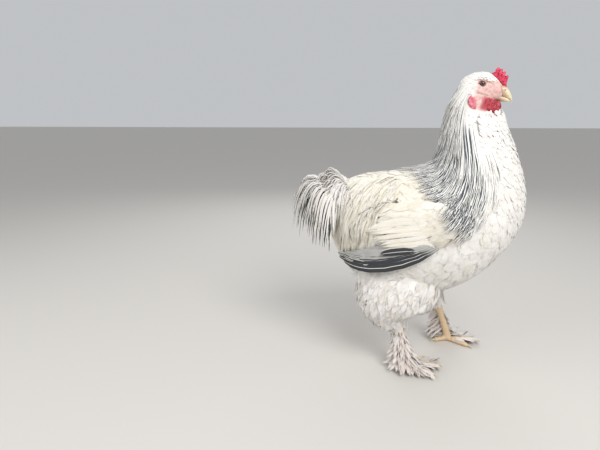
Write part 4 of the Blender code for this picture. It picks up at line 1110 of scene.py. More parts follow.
bodyCoat = {
    "tRange": (0.3, 12.9),
    "candidates": 60000,
    "spacingAt": ((0.3, 0.0105), (4.0, 0.0098), (7.0, 0.0075), (9.0, 0.0060), (12.2, 0.0042)),
    "lengthAt": ((0.3, 0.046), (4.0, 0.044), (7.0, 0.036), (9.0, 0.028), (12.2, 0.015)),
    "widthShare": 0.30,
}


def makeBodyCoat(look):
    rng = np.random.default_rng(3)
    t, angle = trunkCandidates(look["candidates"], look["tRange"], 4)
    points, _, ways = trunkPoint(t, angle, -coatDepth(t))
    turned = np.abs(angle)
    hackled = (t > 5.9) & (turned < math.radians(85)) | (t > 5.2) & (turned < math.radians(55))
    keep = ~hackled & ~overWing(points, 0.006)
    t, angle, points, ways = (row[keep] for row in (t, angle, points, ways))
    kept = thinOut(points, np.interp(t, *zip(*look["spacingAt"])))
    t, angle, points, ways = (row[kept] for row in (t, angle, points, ways))
    lengths = np.interp(t, *zip(*look["lengthAt"])) * rng.uniform(0.85, 1.15, len(t))
    wander = rng.normal(0, 0.10, (len(t), 1))
    side = np.cross(trunkPoint(t, angle)[1], ways)
    ways = unit(ways + side * wander)
    depth = coatDepth(t) * rng.uniform(0.90, 1.06, len(t))
    paths, normals = layOver(points, ways, lengths,
                             lambda s: depth[:, None] * (1 - (1 - s) ** 4) + 0.0004,
                             fall=0.02, steps=7)
    back = ramp(100, 60, np.degrees(np.abs(angle))) * ramp(7, 5, t)
    tones = toneRows(rng, len(t), 0.0, 0.15 + 0.6 * back, 0.1)
    halves, place = lengths * look["widthShare"], trunkChart(t, angle)
    root = toLocal(points)
    face = (root[:, 0] > -0.022) & (root[:, 2] > -0.050) & (bareFace(root) > 0.3)
    clear = (offFlesh(paths) | (t < 10)) & ~face
    t, angle, paths, normals, halves, tones, place = (
        row[clear] for row in (t, angle, paths, normals, halves, tones, place))
    made = []
    fore, left = t > 5.6, angle >= 0
    for name, pick in (("breastRight", fore & ~left), ("breastLeft", fore & left),
                       ("flankRight", ~fore & ~left), ("flankLeft", ~fore & left)):
        made.append(plant(name + "Feathers", vaneSet("contour", 6, 4, 0.10, locks=6), paths[pick],
                          normals[pick], halves[pick], tones[pick], whitePlumage, place[pick],
                          thick=0.0004, camber=0.08, roll=0.04, soft=0.88, seed=len(made) + 1))
    return made


coat = makeBodyCoat(bodyCoat)


# pushes paths out of the body, so that each point stands at least its own clearance over the skin
def clearOf(points, clearance):
    flat = points.reshape(-1, 3)
    least = np.broadcast_to(clearance, points.shape[:2]).reshape(-1)
    spot, out = nearest(flat)
    gap = np.sum((flat - spot) * out, -1)
    near = np.linalg.norm(flat - spot, axis=-1) < 0.03
    push = np.where(near & (gap < least), least - gap, 0)
    return (flat + out * push[:, None]).reshape(points.shape)


# hackle: pointed feathers in tiers, black down the middle with white edges
hackleFeather = featherMaterial("stripedHackleFeather", {
    "white": "#F2F0EC", "cream": "#ECE6D8", "soiled": "#D8CFC6", "soil": 0.12, "dark": "#22262C",
    "darkSheen": "#5A6269", "shaftTint": "#4A4F55", "shaft": 0.0, "closeFrom": 0.80,
    "closeTo": 0.45, "rootFade": 0.34, "slant": 0.25, "barbs": 14.0, "gloss": 0.35,
    "sheen": 0.10,
})

hackleLook = {
    "rows": 30,
    "rootAt": (6.4, 12.75),
    # root ring, then tip ring at the back, at the side and in front
    "tipAt": ((6.4, 3.6, 4.5, 5.6), (8.0, 3.3, 4.4, 6.3), (9.3, 3.2, 4.5, 6.5),
              (9.95, 4.4, 5.5, 7.0), (10.6, 6.0, 6.8, 7.9), (11.25, 7.6, 8.1, 8.8),
              (12.05, 9.1, 9.4, 9.7), (12.75, 10.4, 10.6, 10.8)),
    "spread": 100,    # degrees either side of the back
    "halfWidthAt": ((6.4, 0.0056), (9.3, 0.0052), (11.0, 0.0038), (12.75, 0.0024)),
    "apart": 0.0056,
    "proud": 0.0052,
}


def makeHackle(look):
    rng = np.random.default_rng(17)
    tips = np.array(look["tipAt"])
    t0, a0 = [], []
    for n, root in enumerate(np.linspace(*look["rootAt"], look["rows"])):
        ring = trunkPoint(root, np.radians(np.linspace(-look["spread"], look["spread"], 60)))[0]
        around = np.linalg.norm(np.diff(ring, axis=0), axis=-1).sum()
        spacing = look["apart"] * (1.25 if root < 9 else 1.0) * (0.8 if root > 11.4 else 1)
        count = max(int(around / spacing), 8)
        shares = (np.arange(count) + 0.5 * (n % 2) + rng.uniform(-0.25, 0.25, count)) / count
        t0.append(np.full(count, root) + rng.uniform(-0.1, 0.1, count))
        a0.append(np.radians(look["spread"]) * (2 * shares - 1))
    t0, a0 = np.concatenate(t0), np.concatenate(a0)
    keep = (t0 > 9.8) | (np.abs(a0) < np.radians(92))
    t0, a0 = t0[keep], a0[keep]
    turned = np.abs(a0) / np.radians(look["spread"])
    back, flank, front = (np.interp(t0, tips[:, 0], tips[:, k]) for k in (1, 2, 3))
    tip = np.where(turned < 0.55, back + (flank - back) * turned / 0.55,
                   flank + (front - flank) * (turned - 0.55) / 0.45)
    tip += rng.uniform(-0.45, 0.25, len(tip))
    drift = rng.normal(0, 0.05, len(t0))
    s = np.linspace(0, 1, 8)[None, :]
    t = t0[:, None] + (tip - t0)[:, None] * s
    # on the sides they swing forward as they fall
    swing = 0.24 * np.sin(math.pi * turned) * ramp(12.2, 10.0, t0)
    angle = a0[:, None] * (1 + swing[:, None] * s) + drift[:, None] * s
    deep = coatDepth(t) + 0.0008
    proud = look["proud"] + rng.normal(0, 0.0010, len(t0))[:, None]
    lift = -deep + (deep + proud) * s**0.62
    points, outs, _ = trunkPoint(t, angle, lift)
    points = clearOf(points, 0.0016 + 0.0128 * ramp(0.25, 0.9, s))
    half = np.interp(t0, *zip(*look["halfWidthAt"])) * rng.uniform(0.85, 1.15, len(t0))
    degrees = np.degrees(np.abs(a0))
    dark = np.interp(t0, (6.4, 9.3, 10.2, 11.2, 12.0, 12.7), (0.68, 0.68, 0.58, 0.44, 0.26, 0.0))
    edge = np.interp(t0, (6.4, 9.3, 10.2, 11.0, 12.2), (90, 82, 70, 60, 54))
    dark = dark * ramp(edge + 10, edge - 6, degrees) * rng.uniform(0.75, 1.12, len(t0))
    dark = np.where(rng.uniform(0, 1, len(t0)) < 0.10, dark * 0.4, dark)
    tones = toneRows(rng, len(t0), np.clip(dark, 0, 1), 0.15, 0.1)
    root = toLocal(points[:, 0])
    clear = offFlesh(points) & ((root[:, 0] < -0.023) | (root[:, 2] < -0.060))
    return plant("hackleFeathers", vaneSet("hackle", 6, 4, 0.06, locks=3), points[clear],
                 outs[clear], half[clear], tones[clear], hackleFeather, trunkChart(t0, a0)[clear],
                 thick=0.0005, camber=0.30, roll=0.12, soft=0.6, seed=5)


coat.append(makeHackle(hackleLook))


# back and saddle: long narrow cream strands that fall over the flanks and the tail's root
saddleFeather = featherMaterial("creamSaddleFeather", {
    "white": "#F2EFE9", "cream": "#E8E0CC", "soiled": "#D3C9B0", "soil": 0.28, "dark": "#3A3D3E",
    "darkSheen": "#74756F", "shaftTint": "#F4EEDC", "shaft": 0.30, "closeFrom": 0.7,
    "closeTo": 0.3, "slant": 0.25, "barbs": 12.0,
})

saddleLook = {
    "xRange": (-0.212, -0.045),
    "angles": (6, 78),
    "candidates": 5000,
    "apart": 0.0054,
    "length": (0.085, 0.135),
    "halfWidth": 0.0050,
}


def makeSaddle(look):
    rng = np.random.default_rng(23)
    t, angle = trunkCandidates(look["candidates"] * 4, (0.4, 4.2), 24)
    points, _, ways = trunkPoint(t, angle, -coatDepth(t))
    x = points[:, 0] - placed[0]
    degrees = np.degrees(np.abs(angle))
    keep = ((x > look["xRange"][0]) & (x < look["xRange"][1]) & (degrees > look["angles"][0])
            & (degrees < look["angles"][1] - 30 * ramp(-0.12, -0.05, x)))
    t, angle, points, ways = (row[keep] for row in (t, angle, points, ways))
    kept = thinOut(points, np.full(len(points), look["apart"]))
    t, angle, points, ways = (row[kept] for row in (t, angle, points, ways))
    x = points[:, 0] - placed[0]
    side = np.sign(angle)[:, None]
    down = np.array((0, 0, -1.0)) + side * np.array((0, 0.6, 0))
    aim = unit(ways * (0.75 + 0.25 * rng.uniform(0, 1, (len(t), 1))) + down * 0.75)
    share = rng.uniform(0, 1, len(t))
    lengths = (look["length"][0] + (look["length"][1] - look["length"][0]) * share)
    lengths = lengths * np.interp(x, (-0.2, -0.12, -0.05), (0.85, 1.0, 0.75))
    rise = rng.uniform(0.010, 0.016, len(t))
    paths, normals = layOver(points, aim, lengths,
                             lambda s: rise[:, None] * (1 - (1 - s) ** 1.5) + 0.0005,
                             fall=0.30, steps=9)
    tones = np.stack((rng.uniform(0, 1, len(t)),
                      np.where(rng.uniform(0, 1, len(t)) < 0.07, 0.30, 0.0),
                      np.clip(rng.normal(0.55, 0.22, len(t)), 0, 1)), -1)
    half = look["halfWidth"] * rng.uniform(0.75, 1.25, len(t))
    return plant("saddleFeathers", vaneSet("strand", 6, 4, 0.10, locks=4), paths, normals, half,
                 tones, saddleFeather, trunkChart(t, angle), thick=0.0005, camber=0.35, roll=0.14,
                 soft=0.8, seed=6)


coat.append(makeSaddle(saddleLook))


# how far out the body reaches at a place seen from the side
def sideReach(x, z, side):
    start = Vector((x + placed[0], placed[1] + side * 0.5, z))
    hit = bodyTree.ray_cast(start, Vector((0, -side, 0)))[0]
    if hit is None or (hit.y - placed[1]) * side < 0:
        return None
    return hit


def hangReach(x, z, side, widest=0.330):
    # as far out as the body is at this place or above it, up to its widest
    best = 0.0
    for level in np.linspace(max(z, widest), z, 5):
        for near in (-0.004, 0, 0.004):
            hit = sideReach(x + near, level, side)
            if hit:
                best = max(best, (hit.y - placed[1]) * side)
    return best


# wing: coverts over the pad, secondaries along its lower edge, primaries below
wingFeather = featherMaterial("creamCovertFeather", {
    "white": "#F2EEE7", "cream": "#E8E0CE", "soiled": "#D3C7AC", "soil": 0.30, "dark": "#3E4144",
    "darkSheen": "#85857F", "shaftTint": "#F5F0E2", "shaft": 0.35, "rootFade": 0.4,
})
wingLook = {
    "covertLength": (0.026, 0.056),
    "covertShare": 0.25,
    "apart": 0.0085,
    "secondaries": 17,
    "secondaryLength": 0.112,
}


def makeCoverts(look):
    rng = np.random.default_rng(31)
    roots, ways, lengths, spots = [], [], [], []
    for side in (-1, 1):
        x = rng.uniform(-0.150, 0.078, 9000)
        t = np.interp(-x, [-row[0] for row in wingRows], range(len(wingRows)))
        rows = through(wingRows, t)
        across = rng.uniform(-1.0, 1.0, len(x))
        z = rows[:, 1] + across * rows[:, 2]
        flat = np.stack((x, np.zeros(len(x)), z), -1)
        kept = thinOut(flat, np.full(len(x), look["apart"]))
        for n in kept:
            hit = sideReach(x[n], z[n], side)
            if hit is None:
                continue
            roots.append(tuple(hit))
            front = float(ramp(0.00, 0.07, x[n]))
            ways.append((-1.0, 0, (z[n] - 0.364) * 14 * front - 0.16 * (1 - front)))
            size = np.interp(-x[n] + 0.10 * max(-across[n], 0), (-0.08, 0.0, 0.09), (0, 0.5, 1))
            lengths.append(look["covertLength"][0] * (1 - size) + look["covertLength"][1] * size)
            spots.append((x[n], z[n], side))
    roots, ways, lengths = np.array(roots), unit(np.array(ways)), np.array(lengths)
    lengths = lengths * rng.uniform(0.88, 1.12, len(lengths))
    spots = np.array(spots)
    paths, normals = layOver(roots, ways, lengths,
                             lambda s: 0.0052 * (1 - (1 - s) ** 4) + 0.0004, fall=0.05)
    flecked = rng.uniform(0, 1, len(roots)) < 0.05
    tones = toneRows(rng, len(roots), np.where(flecked, 0.32, 0.0), 0.55, 0.2)
    place = chart("wing", (spots[:, 0] + 0.16) / 0.25 * 0.5 + 0.5 * (spots[:, 2] > 0),
                  (spots[:, 1] - 0.30) / 0.12)
    return plant("wingCoverts", vaneSet("contour", 6, 4, 0.10, locks=6), paths, normals,
                 lengths * look["covertShare"], tones, wingFeather, place, thick=0.0004,
                 camber=0.10, roll=0.05, soft=0.85, seed=8)


def makeSecondaries(look):
    rng = np.random.default_rng(37)
    paths, normals, halves, tones, place = [], [], [], [], []
    s = np.linspace(0, 1, 9)
    for side in (-1, 1):
        for i in range(look["secondaries"]):
            share = i / (look["secondaries"] - 1)
            x0, z0 = 0.004 - 0.046 * share, 0.318 + 0.056 * share
            length = look["secondaryLength"] * (0.92 + 0.06 * share) + rng.uniform(-0.012, 0.006)
            droop = rng.uniform(0.006, 0.022)
            row, face = [], []
            for v in s:
                x, z = x0 - length * v, z0 - 0.008 * v - droop * v * v
                reach = hangReach(x, z, side)
                reach += 0.0030 + (0.0052 + 0.0005 * i) * min(1, 0.25 + v)
                row.append((x + placed[0], placed[1] + side * reach, z))
                face.append((0, side, 0.12))
            paths.append(row)
            normals.append(face)
            halves.append(rng.uniform(0.0056, 0.0074))
            tones.append((rng.uniform(), 0.2 if i % 6 == 1 else 0.0, rng.uniform(0.3, 0.7)))
            place.append(chart("wing", 0.25 + 0.5 * (side > 0), share))
    return plant("secondaries", vaneSet("strand", 6, 6, 0.10, locks=5), np.array(paths),
                 unit(np.array(normals, float)), np.array(halves), np.array(tones), wingFeather,
                 np.array(place), thick=0.0006, camber=0.30, roll=0.08, soft=0.7, seed=9)


flightFeather = featherMaterial("darkFlightFeather", {
    "white": "#B4B3B0", "cream": "#9C9892", "soiled": "#83807B", "soil": 0.45, "dark": "#191A1E",
    "darkSheen": "#3A3E43", "shaftTint": "#EDE9DC", "shaft": 0.85, "closeFrom": 0.95,
    "closeTo": 0.9, "rootFade": 0.15, "gloss": 0.4, "sheen": 0.05,
})
# primaries: root x, z, tip x, z, sag, half width, how far out, and dark share
primaryRows = (
    (-0.020, 0.326, -0.112, 0.302, 0.000, 0.0105, 0.0040, 0.00),
    (-0.020, 0.324, -0.134, 0.297, 0.003, 0.0108, 0.0052, 0.00),
    (-0.016, 0.322, -0.154, 0.291, 0.006, 0.0112, 0.0064, 0.10),
    (-0.010, 0.321, -0.170, 0.287, 0.009, 0.0112, 0.0076, 0.00),
    (-0.006, 0.320, -0.184, 0.282, 0.012, 0.0112, 0.0088, 0.20),
    (0.000, 0.319, -0.202, 0.275, 0.016, 0.0112, 0.0100, 0.35),
    (0.006, 0.318, -0.198, 0.268, 0.019, 0.0108, 0.0112, 0.80),
    (0.012, 0.317, -0.186, 0.262, 0.021, 0.0100, 0.0124, 1.00),
    (-0.030, 0.308, -0.104, 0.296, -0.003, 0.0080, 0.0122, 1.00),
)


def makePrimaries(rows):
    rng = np.random.default_rng(41)
    paths, normals, halves, tones, place = [], [], [], [], []
    for side in (-1, 1):
        for i, (x0, z0, x1, z1, sag, half, out, dark) in enumerate(rows):
            row, face = [], []
            for v in np.linspace(0, 1, 10):
                x, z = x0 + (x1 - x0) * v, z0 + (z1 - z0) * v - 4 * sag * v * (1 - v)
                reach = hangReach(x, z, side) + 0.003 + out * min(1, 0.35 + v)
                row.append((x + placed[0], placed[1] + side * reach, z))
                face.append((0, side, 0.05))
            paths.append(row)
            normals.append(face)
            halves.append(half)
            tones.append((rng.uniform(), dark, rng.uniform(0, 0.4)))
            place.append(chart("wing", 0.1 + 0.5 * (side > 0), 0.5 * i / len(rows)))
    return plant("primaries", vaneSet("quill", 6, 6, 0.03), np.array(paths),
                 unit(np.array(normals, float)), np.array(halves), np.array(tones), flightFeather,
                 np.array(place), thick=0.0011, camber=0.18, roll=0.02, seed=10)


coat += [makeCoverts(wingLook), makeSecondaries(wingLook), makePrimaries(primaryRows)]


# tail: black feathers laced with white that arch and fall, under cream coverts and white plumes
tailFeather = featherMaterial("lacedTailFeather", {
    "white": "#ECE9E2", "cream": "#E2DAC6", "soiled": "#C9C1AE", "soil": 0.25, "dark": "#1C1F22",
    "darkSheen": "#3F464A", "shaftTint": "#30343A", "shaft": 0.0, "closeFrom": 0.86,
    "closeTo": 0.55, "rootFade": 0.12, "gloss": 0.45, "sheen": 0.05, "slant": 0.35,
    "barbs": 14.0,
})
# sheets from the inside out: forward and up of the root, reach at the middle and the sides, rise,
# tip height at the middle and the sides, count a side, dark share, half width
tailSheets = (
    (0.000, 0.000, 0.090, 0.060, 0.060, 0.322, 0.272, 13, 0.74, 0.0080),
    (0.004, 0.003, 0.088, 0.058, 0.064, 0.336, 0.286, 13, 0.66, 0.0076),
    (0.008, 0.005, 0.084, 0.056, 0.067, 0.350, 0.300, 12, 0.60, 0.0070),
    (0.012, 0.007, 0.078, 0.054, 0.069, 0.366, 0.316, 12, 0.52, 0.0064),
    (0.018, 0.009, 0.066, 0.050, 0.066, 0.382, 0.330, 12, 0.24, 0.0054),
    (0.024, 0.010, 0.052, 0.048, 0.058, 0.392, 0.338, 13, 0.00, 0.0050),
)
tailPlumes = (
    (0.030, 0.016, 0.062, 0.050, 0.066, 0.404, 0.352, 15, 0.0, 0.0036),
    (0.040, 0.024, 0.050, 0.046, 0.058, 0.430, 0.372, 15, 0.0, 0.0036),
    (0.006, 0.014, 0.094, 0.066, 0.072, 0.352, 0.300, 13, 0.0, 0.0034),
)


def tailPaths(sheets, rng):
    paths, normals, halves, tones, place = [], [], [], [], []
    s = np.linspace(0, 1, 9)[:, None]
    for side in (-1, 1):
        for fore, up, far, near, rise, tipFar, tipNear, count, dark, half in sheets:
            for i in range(count):
                share = (i + rng.uniform(0.2, 0.8)) / count
                fan = math.radians(6 + 80 * share)
                heading = np.array((-math.cos(fan), side * math.sin(fan), 0))
                start = np.array((-0.240 + 0.026 * share + fore, side * (0.002 + 0.036 * share),
                                  0.404 - 0.026 * share + up))
                reach = far + (near - far) * share + rng.uniform(-0.006, 0.003)
                end = start + heading * reach
                end[2] = tipFar + (tipNear - tipFar) * share + rng.uniform(-0.010, 0.008)
                middle = start + heading * (reach * 0.86)
                middle[2] = start[2] + rise * (1 - 0.5 * share)
                path = start * (1 - s)**2 + middle * (2 * s * (1 - s)) + end * s**2
                along = (middle - start) * (1 - s) + (end - middle) * s
                level = np.cross((0, 0, 1), heading)
                paths.append(path + placed)
                normals.append(unit(np.cross(along, level)))
                halves.append(half * rng.uniform(0.85, 1.15))
                tones.append((rng.uniform(), dark * rng.uniform(0.85, 1.08), rng.uniform(0, 0.5)))
                place.append(chart("tail", 0.5 + 0.5 * side * share, (fore + 0.002) / 0.03))
    return [np.array(row) for row in (paths, normals, halves, tones, place)]


def makeTail(sheets, plumes):
    rng = np.random.default_rng(43)
    paths, normals, halves, tones, place = tailPaths(sheets, rng)
    feathers = plant("tailFeathers", vaneSet("sickle", 6, 4, 0.05, locks=3), paths, normals, halves,
                     tones, tailFeather, place, camber=0.30, roll=0.10, soft=0.5, seed=12)
    # white plumes whose barbs hang apart over the top and the outer edge
    paths, normals, halves, tones, place = tailPaths(plumes, rng)
    count = 7
    wisps, faces = spreadWisps(paths, normals, count, 0.009, rng)
    loose = plant("tailPlumes", vaneSet("sickle", 6, 4, 0.08, locks=3), wisps, faces,
                  rng.uniform(0.6, 1.4, len(wisps)) * 0.0026, np.repeat(tones, count, axis=0),
                  downFeather, np.repeat(place, count, axis=0), roll=0.4, soft=0.85, seed=19)
    return [feathers, loose]


# thighs and abdomen: down and loose feathers whose barbs hang apart
downFeather = featherMaterial("looseDown", {
    "white": "#F2EFEC", "cream": "#EAE2D4", "soiled": "#CDBDAF", "soil": 0.35, "dark": "#55565A",
    "darkSheen": "#8B8B8B", "shaftTint": "#F2EEE8", "shaft": 0.0, "sheen": 0.30, "bump": 0.15,
    "roughness": 0.8, "gloss": 0.12, "streakLow": 0.95,
})

fluffLook = {
    "thighApart": 0.0082,
    "bellyApart": 0.0120,
    "length": (0.032, 0.050),
    "wisps": 5,
    "halfWidth": 0.0011,
}


# several thin wisps from each root, spread apart towards their tips
def spreadWisps(paths, normals, count, spread, rng):
    n, steps = paths.shape[:2]
    paths = np.repeat(paths, count, axis=0)
    normals = np.repeat(normals, count, axis=0)
    way = unit(paths[:, -1] - paths[:, 0])
    side = unit(np.cross(normals[:, 0], way))
    s = np.linspace(0, 1, steps)[None, :, None]
    lean = rng.normal(0, spread, (n * count, 1, 1)) * s**1.2
    curl = rng.normal(0, spread * 0.5, (n * count, 1, 1)) * s**2
    up = rng.normal(0.15, 0.20, (n * count, 1, 1)) * spread * s**1.5
    short = rng.uniform(0.65, 1.05, (n * count, 1, 1))
    base = paths[:, :1] + rng.normal(0, 0.0012, (n * count, 1, 3))
    paths = base + (paths - paths[:, :1]) * short + side[:, None] * (lean + curl) + normals * up
    return paths, normals


coat += makeTail(tailSheets, tailPlumes)


def makeThighs(look):
    rng = np.random.default_rng(51)
    roots, ways, spots = [], [], []
    for leg in legs.values():
        rows = limbRings(legStations(leg), 40, skinLook["thighDepth"])
        for _ in range(5200):
            k = rng.uniform(3, 38.5)
            low = int(k)
            part = k - low
            a = rng.uniform(-math.pi, math.pi)
            centre, fore, wide = (one * (1 - part) + two * part
                                  for one, two in zip(rows[low], rows[low + 1]))
            if rng.uniform() > (fore.length + 0.01) / 0.11:
                continue
            point = centre + fore * math.cos(a) + wide * math.sin(a)
            below = rows[min(low + 2, 39)][0] - rows[max(low - 1, 0)][0]
            roots.append(tuple(point + Vector(placed)))
            ways.append(tuple(below.normalized() + Vector((-0.25, 0, -0.1))))
            spots.append((k / 40, 0.25 + 0.5 * (leg["side"] > 0) + a / (4 * math.pi)))
    roots, ways, spots = np.array(roots), np.array(ways), np.array(spots)
    keep = np.linalg.norm(nearest(roots)[0] - roots, axis=-1) < 0.006
    roots, ways, spots = roots[keep], ways[keep], spots[keep]
    kept = thinOut(roots, np.full(len(roots), look["thighApart"]))
    roots, ways, spots = roots[kept], unit(ways[kept]), spots[kept]
    low = ramp(0.25, 0.12, roots[:, 2])
    lengths = rng.uniform(*look["length"], len(roots)) * (1 - 0.25 * low)
    depth = rng.uniform(0.007, 0.011, len(roots)) * (1 - 0.3 * low)
    paths, normals = layOver(roots, ways, lengths,
                             lambda s: depth[:, None] * (1 - (1 - s) ** 3.5) + 0.0004, fall=0.10)
    tones = toneRows(rng, len(roots), 0.0, 0.2, 0.1)
    place = chart("thigh", spots[:, 1], spots[:, 0])
    vanes = plant("thighFeathers", vaneSet("contour", 5, 4, 0.14, locks=6), paths, normals,
                  lengths * 0.20, tones, downFeather, place, thick=0.0004, camber=0.12, roll=0.10,
                  soft=0.88, seed=13)
    count = look["wisps"]
    wisps, faces = spreadWisps(paths, normals, count, 0.006, rng)
    loose = plant("thighDown", vaneSet("wisp", 4, 4, 0.05), wisps, faces,
                  rng.uniform(0.7, 1.3, len(wisps)) * look["halfWidth"],
                  np.repeat(tones, count, axis=0), downFeather, np.repeat(place, count, axis=0),
                  roll=0.5, soft=0.85, seed=14)
    return [vanes, loose]


coat += makeThighs(fluffLook)


def makeBellyDown(look):
    rng = np.random.default_rng(53)
    t, angle = trunkCandidates(24000, (0.1, 4.6), 54)
    turned = np.degrees(np.abs(angle))
    keep = turned > np.interp(t, (0, 1.5, 3.0, 4.6), (70, 96, 112, 150))
    t, angle = t[keep], angle[keep]
    points, _, ways = trunkPoint(t, angle, -coatDepth(t))
    kept = thinOut(points, np.full(len(points), look["bellyApart"]))
    t, angle, points, ways = (row[kept] for row in (t, angle, points, ways))
    lengths = rng.uniform(0.030, 0.046, len(t))
    rise = rng.uniform(0.008, 0.013, len(t))
    paths, normals = layOver(points, ways, lengths,
                             lambda s: rise[:, None] * (1 - (1 - s) ** 1.4), fall=0.15)
    tones = toneRows(rng, len(t), 0.0, 0.25, 0.12)
    count = 6
    wisps, faces = spreadWisps(paths, normals, count, 0.007, rng)
    return plant("bellyDown", vaneSet("wisp", 4, 4, 0.05), wisps, faces,
                 rng.uniform(0.7, 1.3, len(wisps)) * 0.0012, np.repeat(tones, count, axis=0),
                 downFeather, np.repeat(trunkChart(t, angle), count, axis=0), roll=0.5, seed=15)


coat.append(makeBellyDown(fluffLook))


# feet: feathers down the outside of the shank and over the outer toes, splayed on the floor
footFeather = featherMaterial("whiteFootFeather", {
    "white": "#EFE9E5", "cream": "#E6D8CC", "soiled": "#B9A394", "soil": 0.45, "dark": "#4A4A4C",
    "darkSheen": "#88827C", "shaftTint": "#F3EDE2", "shaft": 0.4, "sheen": 0.15,
})
footLook = {"shank": 130, "toe": 26, "halfWidth": 0.0060, "least": 0.0035}


def makeFootFeathers(look):
    rng = np.random.default_rng(61)
    paths, normals, halves, tones, place = [], [], [], [], []
    s = np.linspace(0, 1, 7)[:, None]

    def add(start, aim, length, drop, bow, half, spot):
        end = start + aim * length
        end[2] = max(start[2] - drop, look["least"] + rng.uniform(0, 0.010))
        middle = (start + end) / 2 + np.array((0, 0, bow)) + aim * length * 0.10
        path = start * (1 - s)**2 + middle * (2 * s * (1 - s)) + end * s**2
        path[:, 2] = np.maximum(path[:, 2], look["least"] * 0.8 + 0.002 * (1 - s[:, 0]))
        out = unit(np.array(aim) * 0.6 + np.array((0, 0, 0.8)))
        paths.append(path + placed)
        normals.append(np.tile(out, (len(s), 1)))
        halves.append(half * rng.uniform(0.8, 1.2))
        tones.append((rng.uniform(), 0.3 if rng.uniform() < 0.12 else 0.0,
                      float(np.clip(rng.normal(0.3, 0.2), 0, 1))))
        place.append(chart("foot", *spot))

    for leg in legs.values():
        hock, pad = np.array(leg["hock"]), np.array(leg["foot"], float)
        outside, ahead = np.array(toeWay(leg, 96)), np.array(toeWay(leg, 0))
        half = 0.25 + 0.5 * (leg["side"] > 0)
        for n in range(look["shank"]):
            down = ((n + rng.uniform()) / look["shank"]) ** 0.85
            height = hock[2] * (0.98 - 0.86 * down)
            axis = hock * (height / hock[2]) + pad * (1 - height / hock[2])
            turned = math.radians(rng.uniform(-125, 95))
            aim = outside * math.cos(turned) + ahead * math.sin(turned)
            start = np.array((axis[0], axis[1], height)) + aim * 0.006
            length = (0.012 + 0.034 * down) * rng.uniform(0.75, 1.2)
            add(start, aim, length, rng.uniform(0.020, 0.036), 0.003 + 0.004 * down,
                look["halfWidth"] * (0.7 + 0.4 * down), (half + turned / 12, 1 - down))
        for name, (degrees, size) in toes.items():
            if name in ("inner", "hind"):
                continue
            way = np.array(toeWay(leg, degrees))
            across = np.array((-way[1], way[0], 0))
            for n in range(look["toe"]):
                share = (n + rng.uniform()) / look["toe"]
                lean = leg["side"] if name == "outer" or rng.uniform() < 0.6 else -leg["side"]
                start = pad + way * size * (0.10 + 0.72 * share) + np.array((0, 0, 0.010))
                start = start + across * lean * 0.003
                aim = unit(way * rng.uniform(0.6, 1.1) + across * lean * (1.0 - 0.45 * share))
                add(start, aim, rng.uniform(0.028, 0.050) * (1 - 0.25 * share), 0.006,
                    rng.uniform(0.004, 0.010), look["halfWidth"], (half + 0.1 * share, 0.1))
    return plant("footFeathers", vaneSet("strand", 6, 4, 0.12, locks=5), np.array(paths),
                 np.array(normals), np.array(halves), np.array(tones), footFeather, np.array(place),
                 thick=0.0005, camber=0.30, roll=0.22, soft=0.6, seed=16)


coat.append(makeFootFeathers(footLook))


def faceSamples(item, count, seed):
    # points spread over a mesh by area
    mesh = item.data
    areas = np.empty(len(mesh.polygons))
    mesh.polygons.foreach_get("area", areas)
    centres = np.empty(len(mesh.polygons) * 3)
    mesh.polygons.foreach_get("center", centres)
    rng = np.random.default_rng(seed)
    pick = rng.choice(len(areas), count, p=areas / areas.sum())
    return centres.reshape(-1, 3)[pick]


headFeather = featherMaterial("whiteHeadFeather", {
    "white": "#F4F1ED", "cream": "#EDE5D8", "soiled": "#E0CFC5", "soil": 0.20, "dark": "#3A3D42",
    "darkSheen": "#6A6D70", "shaftTint": "#F6F2EA", "shaft": 0.1, "bump": 0.2,
})


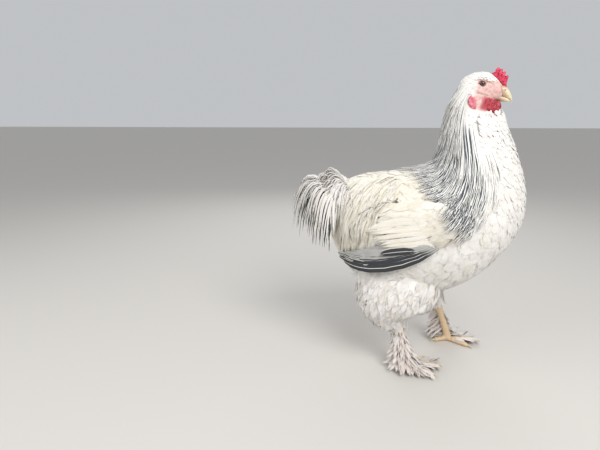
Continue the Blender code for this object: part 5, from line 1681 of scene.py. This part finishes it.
def makeHeadFeathers(look):
    rng = np.random.default_rng(71)
    roots = faceSamples(body, 220000, 72)
    roots = roots[toLocal(roots)[:, 2] > -0.09]
    local = toLocal(roots)
    bare = bareFace(local)
    keep = bare < rng.uniform(0.15, 0.6, len(bare))
    keep &= (local[:, 0] < 0.030) & (local[:, 2] > -0.085)
    roots, local = roots[keep], local[keep]
    lowNeck = ramp(-0.050, -0.075, local[:, 2])
    kept = thinOut(roots, look["feathersApart"] + 0.0022 * lowNeck)
    roots, local = roots[kept], local[kept]
    lowNeck = ramp(-0.045, -0.075, local[:, 2])
    turn = np.array(headFrame.to_3x3().normalized())
    throat = ramp(-0.030, -0.046, local[:, 2])[:, None]
    nape = ramp(-0.020, -0.040, local[:, 0])[:, None]
    down = np.maximum(throat, nape)
    back = np.array((-1.0, 0, -0.18)) * (1 - 0.75 * down) + np.array((-0.35, 0, -1.0)) * down
    back += rng.normal(0, 0.10, back.shape)
    ways = unit(back @ turn.T)
    lengths = (0.0085 + 0.0040 * nape[:, 0] + 0.0060 * lowNeck) * rng.uniform(0.8, 1.2, len(roots))
    lengths *= 1 - 0.45 * ramp(0.006, 0.028, local[:, 0])
    eye = look["eye"]
    near = np.hypot(local[:, 0] - eye[0], local[:, 2] - eye[2])
    lengths *= 0.55 + 0.45 * ramp(0.008, 0.020, near)
    depth = (0.0015 + 0.0026 * lowNeck) * rng.uniform(0.8, 1.2, len(roots))
    paths, normals = layOver(roots, ways, lengths,
                             lambda s: depth[:, None] * (1 - (1 - s) ** 3) + 0.0002,
                             fall=0.08, steps=5)
    clear = offFlesh(paths)
    local, paths, normals, lengths = (row[clear] for row in (local, paths, normals, lengths))
    tones = toneRows(rng, len(local), 0.0, 0.15, 0.1)
    place = chart("head", 0.5 + np.arctan2(local[:, 1], local[:, 2] + 0.02) / (2 * math.pi),
                  (local[:, 0] + 0.06) / 0.1)
    return plant("headFeathers", vaneSet("small", 5, 4, 0.10, locks=3), paths, normals,
                 lengths * 0.32, tones, headFeather, place, thick=0.0003, camber=0.12, roll=0.08,
                 soft=0.85, seed=18)


coat.append(makeHeadFeathers(headLook))


# studio: pale floor, one large soft key, and a fill and a rim light that are weaker
studio = {"floor": "#CFCBC5", "key": 44.0, "fill": 12.0, "sky": 0.62}


def makeStudio(look):
    bm = bmesh.new()
    bmesh.ops.create_grid(bm, x_segments=1, y_segments=1, size=40)
    paint, _, _ = newMaterial("paleFloor", {"Base Color": toLinear(look["floor"]),
                                            "Roughness": 0.9})
    finished("floor", bm, paint)
    for name, spot, size, power in (("key", (0.9, -1.5, 1.9), 1.3, look["key"]),
                                    ("fill", (-1.6, -1.2, 1.1), 1.6, look["fill"]),
                                    ("rim", (-0.4, 1.8, 1.6), 1.4, look["fill"])):
        data = bpy.data.lights.new(name, "AREA")
        data.size = size
        data.energy = power
        lamp = bpy.data.objects.new(name, data)
        aim = Vector((0, 0, 0.35)) - Vector(spot)
        lamp.matrix_world = (Matrix.Translation(spot)
                             @ aim.to_track_quat("-Z", "Y").to_matrix().to_4x4())
        bpy.context.scene.collection.objects.link(lamp)
    world = bpy.data.worlds.new("studio")
    bpy.context.scene.world = world
    world.use_nodes = True
    sky = world.node_tree.nodes["Background"]
    sky.inputs["Color"].default_value = toLinear("#EDF0F4")
    sky.inputs["Strength"].default_value = look["sky"]
    bpy.context.scene.view_settings.view_transform = "Standard"


makeStudio(studio)

clawNodes = ["claw_%s_%s" % (toe, side) for toe in toes for side in legs]
for piece, slot, nodes in (
        (body, "face_skin", ("torso", "rump", "thigh_right", "thigh_left", "neck", "wing_right",
                             "wing_left", "tail", "head", "foot_right", "foot_left")),
        (comb, "red_skin", ("comb",)), (wattles, "red_skin", ("wattle_right", "wattle_left")),
        (lobes, "red_skin", ("earlobe_right", "earlobe_left")),
        (eyes, "eye", ("eye_right", "eye_left")),
        (upperBeak, "horn_beak", ("beak_upper",)), (lowerBeak, "horn_beak", ("beak_lower",)),
        (nostrils, "horn_beak", ()), (eyelids, "face_skin", ()), (claws, "claw_horn", clawNodes)):
    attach(piece, "root")
    if nodes:
        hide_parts(*nodes)

for piece in coat:
    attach(piece, "root")
